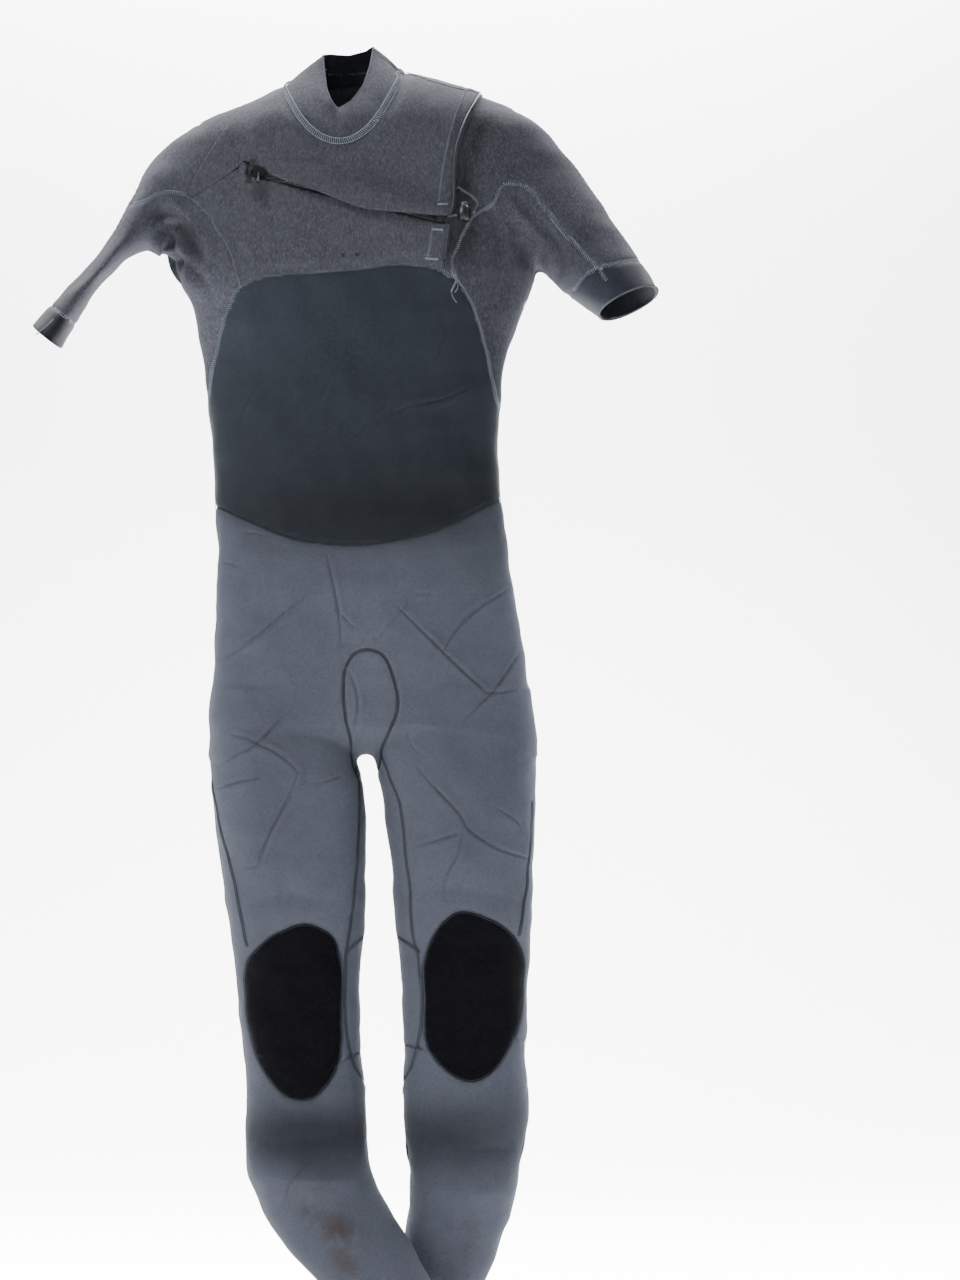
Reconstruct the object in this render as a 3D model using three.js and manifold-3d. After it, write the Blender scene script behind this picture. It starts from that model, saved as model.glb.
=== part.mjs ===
// Full-length, short-sleeved neoprene wetsuit with a diagonal chest zip, hanging by its shoulders.
// Millimetres. +Z up, the front faces -Y, +X is the wearer's left. Origin: the middle of the hanger line inside the shoulders.
import * as THREE from "three";
import { mergeVertices } from "three/addons/utils/BufferGeometryUtils.js";
import Module from "manifold-3d";

const wasm = await Module();
wasm.setup();

// ---- driving dimensions -------------------------------------------------
const U = 1.15; // one layout unit of the pattern plane, mm
const SIGHT = 1275; // distance from the pattern plane to the point the seam lines are carried from
const CX = 480, CY = 640; // layout position of that point
const OX = 358, OZ = 95; // layout position of the origin
const SKIN = 3.0; // body neoprene
const CHEST_Y = -58; // front of the chest at the zip
const LAYER_IN = 0.5, LAYER_OUT = 4.0; // the chest panels lie this far outside the inner barrier
const SEAM = 0.34; // gap between neighbouring panels
const NT = 24, NL = 14, NS = 12, NC = 22; // facets round the torso, a leg, a sleeve and the collar
const ZIP_A = [252, 172], ZIP_B = [438, 219]; // ends of the chain
const TAPE = { y0: -60.3, y1: -59.6, width: 13 };
const CHAIN = { half: 3.6, y0: -62.4, y1: -60.45, pitch: 6 };
const SLIDER = { len: 14, half: 6.0, top: 1.3, bottom: 0.8 };
const SLOT = 6.6; // half the width left free for the slider between the chest panels
const CORD_D = 2.4;
const LOCK = { r: 7.6, h: 16, bore: 4.45, button: 4.15, travel: 3.0 };

// ---- layout -> space ----------------------------------------------------
const OFFX = (CX - OX) * U, OFFZ = (OZ - CY) * U;
const at = (px, py, y = 0) => {
  const k = (U * (SIGHT + y)) / SIGHT;
  return new THREE.Vector3(OFFX + (px - CX) * k, y, OFFZ - (py - CY) * k);
};

// ---- solids -------------------------------------------------------------
function toSolid(geometry) {
  const g = geometry.index ? geometry.toNonIndexed() : geometry.clone();
  g.deleteAttribute("normal");
  g.deleteAttribute("uv");
  const m = mergeVertices(g, 1e-4);
  return new wasm.Manifold(
    new wasm.Mesh({
      numProp: 3,
      vertProperties: new Float32Array(m.attributes.position.array),
      triVerts: new Uint32Array(m.index.array),
    }),
  );
}
function fromFaces(points, faces) {
  let vol = 0;
  for (const [a, b, c] of faces) {
    const A = points[a], B = points[b], C = points[c];
    vol += A.dot(new THREE.Vector3().crossVectors(B, C));
  }
  const idx = [];
  for (const [a, b, c] of faces) vol < 0 ? idx.push(a, c, b) : idx.push(a, b, c);
  const pos = new Float32Array(points.length * 3);
  points.forEach((p, i) => pos.set([p.x, p.y, p.z], i * 3));
  const g = new THREE.BufferGeometry();
  g.setAttribute("position", new THREE.BufferAttribute(pos, 3));
  g.setIndex(idx);
  return toSolid(g);
}
// closed solid through equal rings, its ends closed by fans
function loft(rings) {
  const n = rings[0].length, pts = [], f = [];
  rings.forEach((r) => r.forEach((p) => pts.push(p)));
  for (let i = 0; i + 1 < rings.length; i++)
    for (let j = 0; j < n; j++) {
      const k = (j + 1) % n, a = i * n + j, b = i * n + k, c = (i + 1) * n + j, d = (i + 1) * n + k;
      f.push([a, b, d], [a, d, c]);
    }
  const cap = (i, flip) => {
    const m = new THREE.Vector3();
    rings[i].forEach((p) => m.add(p));
    const c = pts.push(m.multiplyScalar(1 / n)) - 1;
    for (let j = 0; j < n; j++) {
      const a = i * n + j, b = i * n + ((j + 1) % n);
      f.push(flip ? [c, b, a] : [c, a, b]);
    }
  };
  cap(0, true);
  cap(rings.length - 1, false);
  return fromFaces(pts, f);
}
// thin wall that follows a seam line, from depth y0 to depth y1
function ribbon(line, y0, y1, closed = false, w = SEAM) {
  const n = line.length, side = [[], []];
  for (let i = 0; i < n; i++) {
    const p = line[i], q = closed ? line[(i + 1) % n] : line[Math.min(i + 1, n - 1)], o = closed ? line[(i + n - 1) % n] : line[Math.max(i - 1, 0)];
    let dx = q[0] - o[0], dy = q[1] - o[1];
    const l = Math.hypot(dx, dy);
    dx /= l; dy /= l;
    for (const s of [0, 1]) side[s].push([p[0] - (dy * (s ? 1 : -1) * w) / 2 / U, p[1] + (dx * (s ? 1 : -1) * w) / 2 / U]);
  }
  const pts = [];
  for (const y of [y0, y1]) for (const s of [0, 1]) side[s].forEach((p) => pts.push(at(p[0], p[1], y)));
  const id = (y, s, i) => (y * 2 + s) * n + (i % n), f = [];
  const quad = (a, b, c, d) => f.push([a, b, c], [a, c, d]);
  for (let i = 0; i < (closed ? n : n - 1); i++) {
    const j = i + 1;
    quad(id(0, 0, i), id(0, 1, i), id(0, 1, j), id(0, 0, j));
    quad(id(1, 1, i), id(1, 0, i), id(1, 0, j), id(1, 1, j));
    quad(id(0, 1, i), id(1, 1, i), id(1, 1, j), id(0, 1, j));
    quad(id(1, 0, i), id(0, 0, i), id(0, 0, j), id(1, 0, j));
  }
  if (!closed) {
    quad(id(0, 0, 0), id(1, 0, 0), id(1, 1, 0), id(0, 1, 0));
    const e = n - 1;
    quad(id(0, 0, e), id(0, 1, e), id(1, 1, e), id(1, 0, e));
  }
  return fromFaces(pts, f);
}
// everything inside an outline of the pattern plane, between two depths
function block(outline, y0, y1) {
  const shape = new THREE.Shape(outline.map(([x, y]) => new THREE.Vector2(x, y)));
  const g = new THREE.ExtrudeGeometry(shape, { depth: 1, bevelEnabled: false, steps: 1 });
  const p = g.getAttribute("position");
  for (let i = 0; i < p.count; i++) {
    const v = at(p.getX(i), p.getY(i), p.getZ(i) < 0.5 ? y0 : y1);
    p.setXYZ(i, v.x, v.y, v.z);
  }
  const ng = g.toNonIndexed ? (g.index ? g.toNonIndexed() : g) : g;
  ng.deleteAttribute("normal");
  ng.deleteAttribute("uv");
  const m = mergeVertices(ng, 1e-4), idx = m.index.array, P = m.attributes.position.array;
  const pts = [], f = [];
  for (let i = 0; i < P.length; i += 3) pts.push(new THREE.Vector3(P[i], P[i + 1], P[i + 2]));
  for (let i = 0; i < idx.length; i += 3) f.push([idx[i], idx[i + 1], idx[i + 2]]);
  return fromFaces(pts, f);
}
const placed = (geometry, matrix) => toSolid(geometry.applyMatrix4(matrix));
const fuse = (list) => list.reduce((a, b) => a.add(b));
// round bar along a smooth line
function bar(points, r, sides = 8, steps = 24) {
  const curve = new THREE.CatmullRomCurve3(points, false, "centripetal");
  const c = [];
  for (let i = 0; i <= steps; i++) c.push(curve.getPointAt(i / steps));
  const rings = [];
  let nrm = null;
  c.forEach((p, i) => {
    const t = curve.getTangentAt(i / steps);
    if (!nrm) nrm = Math.abs(t.y) < 0.9 ? new THREE.Vector3(0, 1, 0) : new THREE.Vector3(1, 0, 0);
    nrm = nrm.clone().addScaledVector(t, -nrm.dot(t)).normalize();
    const b = new THREE.Vector3().crossVectors(t, nrm);
    const ring = [];
    for (let k = 0; k < sides; k++) {
      const a = (2 * Math.PI * k) / sides;
      ring.push(p.clone().addScaledVector(nrm, r * Math.cos(a)).addScaledVector(b, r * Math.sin(a)));
    }
    rings.push(ring);
  });
  return loft(rings);
}

// ---- body tubes ---------------------------------------------------------
const spow = (v, e) => Math.sign(v) * Math.pow(Math.abs(v), e);
// level ring between two layout columns
function levelRing([py, xl, xr, b, yc, n], grow, count) {
  const L = at(xl, py, yc), R = at(xr, py, yc), ring = [];
  const a = (R.x - L.x) / 2 + grow, c = (R.x + L.x) / 2, bb = b + grow;
  for (let i = 0; i < count; i++) {
    const t = (2 * Math.PI * (i + 0.5)) / count;
    ring.push(new THREE.Vector3(c + a * spow(Math.cos(t), 2 / n), yc + bb * spow(Math.sin(t), 2 / n), L.z));
  }
  return ring;
}
// ring across a sleeve between its outer and inner edges
function sleeveRing([ox, oy, ix, iy, b, yc, n], grow, count) {
  const O = at(ox, oy, yc), I = at(ix, iy, yc), d = new THREE.Vector3().subVectors(O, I), w = d.length() / 2 + grow;
  d.normalize();
  const c = new THREE.Vector3().addVectors(O, I).multiplyScalar(0.5), ring = [];
  for (let i = 0; i < count; i++) {
    const t = (2 * Math.PI * (i + 0.5)) / count, u = w * spow(Math.cos(t), 2 / n);
    ring.push(new THREE.Vector3(c.x + d.x * u, yc + (b + grow) * spow(Math.sin(t), 2 / n), c.z + d.z * u));
  }
  return ring;
}
// [row, left, right, half depth, centre depth, squareness]
const TORSO = [
  [72, 322, 398, 34, 12, 2.2], [84, 290, 440, 42, 8, 2.3], [98, 262, 484, 49, 3, 2.6],
  [122, 204, 538, 55, 0, 3.2], [160, 168, 552, 58, 0, 4], [270, 172, 536, 58, 0, 4], [302, 193, 528, 57, 0, 3.8],
  [350, 202, 507, 51, 0, 3.2], [410, 209, 498, 46, 0, 3], [500, 215, 501, 43, 0, 2.8],
  [580, 217, 512, 49, 0, 2.8], [660, 215, 523, 55, 0, 2.8], [752, 210, 534, 58, 0, 2.8],
];
const LEG_R = [ // the wearer's right leg; it crosses in front at the shins
  [690, 216, 345, 48, 0, 2.4], [757, 210, 358, 59, 0, 2.5], [800, 213, 364, 59, 0, 2.5], [880, 222, 366, 52, 0, 2.4],
  [960, 235, 362, 44, 0, 2.4], [1045, 243, 362, 41, 0, 2.4], [1158, 244, 368, 42, -2, 2.4],
  [1202, 255, 386, 40, -22, 2.4], [1248, 286, 412, 38, -52, 2.4], [1312, 343, 447, 34, -80, 2.4], [1356, 369, 463, 33, -91, 2.4],
];
const LEG_L = [
  [690, 386, 527, 48, 0, 2.4], [757, 372, 534, 59, 0, 2.5], [800, 385, 535, 59, 0, 2.5], [880, 392, 533, 52, 0, 2.4],
  [960, 398, 529, 44, 0, 2.4], [1045, 404, 525, 41, 0, 2.4], [1150, 407, 524, 42, 1, 2.4],
  [1200, 410, 514, 40, 10, 2.4], [1250, 402, 498, 37, 19, 2.4], [1312, 378, 472, 34, 24, 2.4], [1356, 365, 454, 33, 25, 2.4],
];
// [outer column, row, inner column, row, half depth, centre depth, squareness]
const ARM_R = [
  [232, 118, 232, 238, 46, 0, 2.4], [180, 135, 180, 246, 53, 0, 2.4], [154, 159, 154, 248, 57, 0, 2.3], [133, 196, 142, 250, 62, 0, 2.2],
  [110, 242, 122, 260, 66, 0, 2.2], [68, 288, 88, 302, 68, 0, 2.2], [33, 325, 62, 348, 66, 0, 2.2],
];
const ARM_L = [
  [500, 108, 486, 245, 46, 0, 2.4], [538, 122, 512, 262, 52, 0, 2.4], [562, 150, 532, 268, 56, 0, 2.3],
  [606, 212, 556, 284, 61, 0, 2.2], [658, 288, 600, 318, 59, 0, 2.2],
];
const beyond = (rings, k) => { // one more ring past the end, so that the tube stays open there
  const a = rings[rings.length - 2], b = rings[rings.length - 1];
  return b.map((p, i) => p.clone().addScaledVector(new THREE.Vector3().subVectors(p, a[i]).normalize(), k));
};
const tube = (table, ring, grow, count, open) => {
  const r = table.map((t) => ring(t, grow, count));
  if (open) r.push(beyond(r, open));
  return r;
};
function body(grow, inner) {
  const torso = tube(TORSO, levelRing, grow, NT, 0);
  if (inner) {
    torso[0].forEach((p) => (p.z -= SKIN));
    torso[torso.length - 1].forEach((p) => (p.z += SKIN));
  }
  const open = inner ? 12 : 0;
  return fuse([
    loft(torso), loft(tube(LEG_R, levelRing, grow, NL, open)), loft(tube(LEG_L, levelRing, grow, NL, open)),
    loft(tube(ARM_R, sleeveRing, grow, NS, open)), loft(tube(ARM_L, sleeveRing, grow, NS, open)),
  ]);
}
const outer = body(0, false);
let shell = outer.subtract(body(-SKIN, true));

// ---- neck and collar ----------------------------------------------------
// the collar's seam and rim: [layout column, row, depth] by angle, 0 = wearer's left, -90 deg = front
function neckLine(cx, a, front, back, left, right, dy, yc, dip) {
  return (t) => {
    const c = Math.cos(t), s = Math.sin(t);
    const side = (left * (1 - c)) / 2 + (right * (1 + c)) / 2;
    const f = s < 0 ? Math.pow(-s, dip) * (front - (left + right) / 2) : Math.pow(s, 1.5) * (back - (left + right) / 2);
    return [cx + a * c, side + f, yc + dy * s * (s < 0 ? 1 : 0.8)];
  };
}
const seamLine = neckLine(345, 57, 143, 66, 90, 71, 54, 0, 1.25);
const rimLine = neckLine(349, 25, 106, 56, 57, 47, 44, -2, 1.2);
const neckRing = (line, grow, lift = 0) => {
  const ring = [];
  for (let i = 0; i < NC; i++) {
    const t = (2 * Math.PI * (i + 0.5)) / NC, [px, py, y] = line(t), p = at(px, py, y);
    p.x += grow * Math.cos(t);
    p.y += grow * Math.sin(t);
    p.z += lift;
    ring.push(p);
  }
  return ring;
};
const mixRing = (a, b, k) => a.map((p, i) => p.clone().lerp(b[i], k));
{
  const low = neckRing(seamLine, 2.4), high = low.map((p) => p.clone().add(new THREE.Vector3(0, -30, 160)));
  const deep = low.map((p) => new THREE.Vector3((p.x + 15) * 0.8 - 15, p.y * 0.76 + 1, p.z - 12));
  shell = shell.subtract(loft([deep, low, high]));
}
const collarOut = [neckRing(seamLine, 1.5, 0.7), mixRing(neckRing(seamLine, 1.5, 0.7), neckRing(rimLine, 1.5), 0.5), neckRing(rimLine, 1.5)];
const collarIn = [neckRing(seamLine, -1.5, 0.7), mixRing(neckRing(seamLine, -1.5, 0.7), neckRing(rimLine, -1.5), 0.5), neckRing(rimLine, -1.5)];
function band(outRings, inRings) {
  const n = outRings[0].length, m = outRings.length, pts = [...outRings.flat(), ...inRings.flat()], f = [], o = m * n;
  const quad = (a, b, c, d) => f.push([a, b, c], [a, c, d]);
  for (let i = 0; i + 1 < m; i++)
    for (let j = 0; j < n; j++) {
      const k = (j + 1) % n;
      quad(i * n + j, i * n + k, (i + 1) * n + k, (i + 1) * n + j);
      quad(o + i * n + k, o + i * n + j, o + (i + 1) * n + j, o + (i + 1) * n + k);
    }
  for (let j = 0; j < n; j++) {
    const k = (j + 1) % n, t = (m - 1) * n;
    quad(k, j, o + j, o + k);
    quad(t + j, t + k, o + t + k, o + t + j);
  }
  return fromFaces(pts, f);
}
const collar = band(collarOut, collarIn);

// ---- seam lines ---------------------------------------------------------
const FRONT = -220, BACK = 220;
const S = {
  chest: [[192, 412], [207, 397], [210, 375], [218, 340], [228, 310], [240, 287], [270, 275], [345, 270], [400, 263], [430, 265], [450, 275], [460, 283], [475, 310], [485, 345], [493, 385], [500, 408], [516, 416]],
  waist: [[200, 502], [218, 508], [250, 522], [290, 538], [320, 543], [360, 545], [410, 538], [450, 525], [500, 500], [516, 494]],
  armR: [[78, 230], [112, 213], [128, 205], [145, 199], [160, 193], [185, 195], [205, 210], [220, 232], [232, 255], [240.4, 287.4]],
  ridgeR: [[187, 197], [193, 180], [202, 164], [217, 140], [241, 108], [262, 88], [275, 70]],
  armL: [[460.4, 283.4], [452, 265], [458, 245], [470, 220], [485, 208], [495, 200], [500, 188], [511, 183], [530, 190], [550, 215], [575, 245], [598, 268], [604, 278]],
  barrier: [[473, 72], [467, 95], [453, 120], [443, 150], [439, 190], [430, 222], [420, 264.3]],
  cuffR: [[8, 276], [36, 294], [56, 309], [72, 322], [92, 336], [124, 360]],
  cuffL: [[546, 322], [560, 303], [573, 291], [582, 279], [597, 269], [625, 262], [640, 261], [662, 256], [684, 250]],
  sleeveBackR: [[204, 96], [196, 150], [190, 200], [184, 262], [182, 300]],
  sleeveBackL: [[516, 92], [516, 150], [512, 200], [516, 262], [526, 306], [548, 345]],
  yoke: [[186, 226], [240, 250], [300, 262], [355, 266], [410, 262], [470, 250], [514, 232]],
  seat: [[352, 530], [360, 600], [367, 660]],
  gusset: [[345, 668], [355, 653], [370, 650], [385, 658], [396, 688], [397, 710], [389, 732], [380, 752], [376, 772], [366, 782], [356, 772], [352, 748], [346, 720], [343, 692]],
  innerL: [[379, 756], [388, 775], [400, 810], [408, 870], [412, 930], [419, 962], [421, 1010], [418, 1040], [408, 1070], [394, 1092]],
  innerR: [[356, 758], [358, 775], [360, 810], [357, 870], [350, 930], [346, 962], [346, 1010], [349, 1040], [356, 1066], [376, 1094]],
  kneeR: [[262, 944], [280, 932], [305, 924], [332, 936], [341, 962], [342, 1020], [342, 1045], [334, 1076], [310, 1100], [281, 1094], [257, 1060], [245, 1000], [245, 965]],
  kneeL: [[424.5, 962], [434, 935], [455, 913], [480, 915], [508, 930], [524, 957], [523, 1000], [515, 1035], [498, 1067], [475, 1082], [450, 1074], [426, 1045], [424.5, 1000]],
  shinR: [[232, 1082], [248, 1062], [262, 1058]],
  shinR2: [[322, 1078], [345, 1060], [364, 1052]],
  shinL: [[540, 1060], [524, 1042], [510, 1040]],
  shinL2: [[450, 1064], [424, 1050], [402, 1046]],
  backKneeTop: [[205, 975], [300, 968], [370, 975], [382, 975], [460, 968], [550, 975]],
  backKneeLow: [[205, 1082], [300, 1090], [370, 1082], [382, 1082], [460, 1090], [550, 1082]],
};
const ankleCut = (table, row) => { // level gap across one leg
  const r = table.find((t) => t[0] === row);
  return [levelRing(r, 8, NL).map((p) => p.setZ(p.z - SEAM / 2)), levelRing(r, 8, NL).map((p) => p.setZ(p.z + SEAM / 2))];
};
// sheet that parts front from back along the sides of a tube
const sideSheet = (table, grow, sleeve) =>
  loft(table.map((t) => {
    const y = sleeve ? t[5] : t[4], P = sleeve ? at(t[0], t[1], y) : at(t[1], t[0], y), Q = sleeve ? at(t[2], t[3], y) : at(t[2], t[0], y);
    const d = new THREE.Vector3().subVectors(Q, P).normalize().multiplyScalar(grow);
    P.sub(d);
    Q.add(d);
    return [[P, -1], [Q, -1], [Q, 1], [P, 1]].map(([c, k]) => new THREE.Vector3(c.x, y + (k * SEAM) / 2, c.z));
  }));

const nodes = new Map(), parts = {};
const probeHits = (piece, [px, py, y0, y1]) => {
  const a = at(px, py, y0), b = at(px, py, y1), r = 0.8, bb = piece.boundingBox();
  if (Math.max(a.x, b.x) + r < bb.min[0] || Math.min(a.x, b.x) - r > bb.max[0] || Math.max(a.z, b.z) + r < bb.min[2] || Math.min(a.z, b.z) - r > bb.max[2] || y0 > bb.max[1] || y1 < bb.min[1]) return 0;
  const o = 0.7;
  return piece.intersect(block([[px - o, py - o], [px + o, py - o], [px + o, py + o], [px - o, py + o]], y0, y1)).volume();
};
function take(pieces, name, probe) {
  let best = -1, bestV = 0.2;
  pieces.forEach((p, i) => {
    const v = p.volume() > 40 && p.volume() < 9e5 ? probeHits(p, probe) : 0;
    if (v > bestV) { best = i; bestV = v; }
  });
  if (best < 0) throw new Error("no panel found for " + name);
  parts[name] = pieces.splice(best, 1)[0];
}
const F = [FRONT, 0], B = [0, BACK];

// first the rings and the strips that wrap round: cuffs, ankles, gusset, inner legs
let first = shell.subtract(fuse([
  ribbon(S.cuffR, FRONT, BACK), ribbon(S.cuffL, FRONT, BACK),
  loft(ankleCut(LEG_R, 1312)), loft(ankleCut(LEG_L, 1312)),
  ribbon(S.gusset, FRONT, BACK, true), ribbon(S.innerL, FRONT, BACK), ribbon(S.innerR, FRONT, BACK),
])).decompose();
take(first, "right_sleeve_cuff", [52, 328, ...F]);
take(first, "left_sleeve_cuff", [625, 285, ...F]);
take(first, "right_ankle_cuff", [408, 1335, FRONT, -60]);
take(first, "left_ankle_cuff", [420, 1335, 0, BACK]);
take(first, "crotch_gusset", [370, 690, ...F]);
take(first, "left_inner_leg_panel", [402, 900, ...F]);
take(first, "right_inner_leg_panel", [361, 900, ...F]);
const rest = fuse(first.filter((p) => p.volume() > 40));

const second = rest.subtract(fuse([
  ribbon(S.waist, FRONT, BACK),
  ribbon(S.chest, FRONT, 2), ribbon(S.armR, FRONT, 2), ribbon(S.armL, FRONT, 2), ribbon(S.ridgeR, FRONT, 14), ribbon(S.barrier, FRONT, 14),
  ribbon(S.kneeR, FRONT, 2, true), ribbon(S.kneeL, FRONT, 2, true),
  ribbon(S.shinR, FRONT, 2), ribbon(S.shinR2, FRONT, 2), ribbon(S.shinL, FRONT, 2), ribbon(S.shinL2, FRONT, 2),
  ribbon(S.sleeveBackR, -2, BACK), ribbon(S.sleeveBackL, -2, BACK), ribbon(S.yoke, -1.5, BACK), ribbon(S.seat, -1.5, BACK),
  ribbon(S.backKneeTop, -1.5, BACK), ribbon(S.backKneeLow, -2.5, BACK),
  sideSheet(TORSO, 5, false), sideSheet(LEG_R, 5, false), sideSheet(LEG_L, 5, false), sideSheet(ARM_R, 5, true), sideSheet(ARM_L, 5, true),
])).decompose();
take(second, "right_shoulder_panel", [180, 160, ...F]);
take(second, "right_underarm_panel", [195, 250, ...F]);
take(second, "inner_barrier", [330, 220, ...F]);
take(second, "left_shoulder_panel", [500, 140, ...F]);
take(second, "left_underarm_panel", [495, 300, ...F]);
take(second, "front_torso_panel", [350, 400, ...F]);
take(second, "front_thigh_panel", [300, 640, ...F]);
take(second, "right_knee_panel", [300, 1000, ...F]);
take(second, "left_knee_panel", [475, 1000, ...F]);
take(second, "right_shin_panel", [300, 1140, ...F]);
take(second, "left_shin_panel", [465, 1140, ...F]);
take(second, "right_sleeve_back", [150, 200, ...B]);
take(second, "left_sleeve_back", [560, 200, ...B]);
take(second, "back_yoke_panel", [300, 200, ...B]);
take(second, "back_torso_panel", [350, 400, ...B]);
take(second, "right_back_thigh_panel", [280, 700, ...B]);
take(second, "left_back_thigh_panel", [460, 700, ...B]);
take(second, "right_behind_knee_panel", [300, 1030, ...B]);
take(second, "left_behind_knee_panel", [465, 1030, ...B]);
take(second, "right_calf_panel", [300, 1140, ...B]);
take(second, "left_calf_panel", [465, 1140, ...B]);
const spare = second.filter((p) => p.volume() > 5);
if (spare.length) for (const p of spare) { const b = p.boundingBox(); console.error("unnamed", p.volume().toFixed(0), b.min.map((v) => v.toFixed(0)).join(), b.max.map((v) => v.toFixed(0)).join()); }
parts.collar = collar;

// ---- chest panels over the barrier --------------------------------------
const zA = at(...ZIP_A, CHEST_Y), zB = at(...ZIP_B, CHEST_Y), ZLEN = zA.distanceTo(zB);
const zu = new THREE.Vector3().subVectors(zB, zA).normalize(), zv = new THREE.Vector3(-zu.z, 0, zu.x); // zv points up
const zipFrame = (u, v, y) => new THREE.Matrix4().makeBasis(zu, new THREE.Vector3(0, 1, 0), zv).setPosition(new THREE.Vector3(zA.x, 0, zA.z).addScaledVector(zu, u).addScaledVector(zv, v).setY(y));
const zipBox = (u0, u1, v0, v1, y0, y1) => placed(new THREE.BoxGeometry(u1 - u0, y1 - y0, v1 - v0), zipFrame((u0 + u1) / 2, (v0 + v1) / 2, (y0 + y1) / 2));
const layer = loft(tube(TORSO, levelRing, LAYER_OUT, NT, 0)).subtract(body(LAYER_IN, false));
const FLAP = [[283, 96], [292, 114], [302, 128], [320, 142], [345, 149], [370, 142], [388, 118], [398, 94], [409, 77], [430, 82], [474, 97], [460, 122], [450, 150], [445, 190], [438, 214], [430, 232], [240, 178], [210, 187], [207, 172], [222, 142], [245, 112], [266, 92]];
const LOWER = [[240, 179], [430, 210], [442, 226], [428, 261], [400, 260], [345, 267], [270, 272], [243, 283], [236, 255], [224, 231], [210, 208], [204, 196], [209, 188.5]];
const zipRoom = zipBox(-15, ZLEN + 30, -SLOT, SLOT, -80, -40);
const above = zipBox(-400, ZLEN + 400, 0.15, 300, -90, 0), below = zipBox(-400, ZLEN + 400, -300, -0.15, -90, 0);
const tapeRoom = zipBox(-6, ZLEN + 6, -TAPE.width - 1.6, TAPE.width + 1.6, TAPE.y0 - 0.3, TAPE.y1 + 0.3);
const drain = (px, py) => placed(new THREE.CylinderGeometry(1.2, 1.2, 30, 10), new THREE.Matrix4().setPosition(at(px, py, CHEST_Y)));
parts.entry_flap = layer.intersect(block(FLAP, FRONT, -4)).intersect(above).subtract(zipRoom).subtract(tapeRoom);
parts.lower_chest_panel = layer.intersect(block(LOWER, FRONT, -4)).intersect(below).subtract(zipRoom).subtract(tapeRoom).subtract(drain(347, 257)).subtract(drain(357, 257));
const edge = (list, y) => list.map(([px, py, yy]) => at(px, py, yy ?? y));
parts.flap_edge_binding = bar(edge([[479.6, 98, -47], [473, 110, -58.5], [465, 122, -62.2], [455, 150, -62.8], [450.2, 190, -62.8], [444.5, 212, -62.8]]), 2.3, 8, 16).subtract(body(0.35, false));
parts.lower_edge_binding = bar(edge([[447.5, 229, -61.5], [441, 246, -61.5], [433.5, 262, -61.5]]), 2.0, 8, 6).subtract(body(0.35, false));

// ---- zip ----------------------------------------------------------------
const teeth = (s) => {
  const list = [zipBox(16 - 15, ZLEN - 1, s > 0 ? 2.3 : -CHAIN.half, s > 0 ? CHAIN.half : -2.3, CHAIN.y0, CHAIN.y1)];
  for (let i = 0; 3 + (i + 1) * CHAIN.pitch < ZLEN; i++) {
    const u = 3 + (i + (s > 0 ? 0 : 0.5)) * CHAIN.pitch;
    list.push(s > 0 ? zipBox(u - 0.85, u + 0.85, -1.2, 2.5, CHAIN.y0, CHAIN.y1) : zipBox(u - 0.85, u + 0.85, -2.5, 1.2, CHAIN.y0, CHAIN.y1));
  }
  return fuse(list);
};
parts.zip_teeth_upper = teeth(1);
parts.zip_teeth_lower = teeth(-1);
parts.zip_tape_upper = zipBox(-4, ZLEN + 4, 1.4, TAPE.width, TAPE.y0, TAPE.y1);
parts.zip_tape_lower = zipBox(-4, ZLEN + 4, -TAPE.width, -1.4, TAPE.y0, TAPE.y1);
parts.zip_end_stop = zipBox(-3.4, 0.4, -3.4, 3.4, CHAIN.y0 - 0.2, CHAIN.y1 - 0.05);
parts.zip_insertion_box = zipBox(ZLEN - 0.6, ZLEN + 6, -4.2, 4.2, CHAIN.y0 - 0.6, CHAIN.y1 - 0.05);
const SU = 2.2; // where the slider's left end stands
const slider = () => {
  const u0 = SU, u1 = SU + SLIDER.len, h = SLIDER.half, top = CHAIN.y0 - 0.35, bot = TAPE.y1 + 0.3;
  const wedge = (v) => zipBox(u0 + 1, u0 + 5.2, v - 0.5, v + 0.5, bot - 0.2, bot + 0.1);
  const plate = (y0, y1) => {
    const s = new THREE.Shape();
    s.moveTo(u0, -h * 0.72); s.lineTo(u0 + 3, -h); s.lineTo(u1 - 4, -h * 0.92); s.lineTo(u1, -h * 0.7);
    s.lineTo(u1, h * 0.7); s.lineTo(u1 - 4, h * 0.92); s.lineTo(u0 + 3, h); s.lineTo(u0, h * 0.72);
    const g = new THREE.ExtrudeGeometry(s, { depth: y1 - y0, bevelEnabled: false });
    // shape x -> zip u, shape y -> zip v, depth -> -y turned round to +y
    const m = new THREE.Matrix4().makeBasis(zu, zv, new THREE.Vector3(0, -1, 0)).setPosition(new THREE.Vector3(zA.x, y1, zA.z));
    return placed(g, m);
  };
  return fuse([
    plate(top - SLIDER.top, top),
    zipBox(u0 + 1.5, u1 - 2, 4.1, 5.6, top - 0.4, TAPE.y0 - 0.25), // side guides
    zipBox(u0 + 1.5, u1 - 2, -5.6, -4.1, top - 0.4, TAPE.y0 - 0.25),
    zipBox(u0 + 5.6, u0 + 6.8, -4.2, -3.1, top - SLIDER.top - 2.6, top - 0.5), // bridge that holds the pull
    zipBox(u0 + 10.6, u0 + 11.8, -4.2, -3.1, top - SLIDER.top - 2.6, top - 0.5),
    zipBox(u0 + 5.6, u0 + 11.8, -4.2, -3.1, top - SLIDER.top - 3.6, top - SLIDER.top - 2.5),
  ]);
};
parts.zip_slider = slider();
const TOPY = CHAIN.y0 - 0.35 - SLIDER.top; // outer face of the slider
const eye = { u: SU + 8.7, v: -3.65, y: TOPY - 3.05 }; // the pull's link turns here
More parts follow.
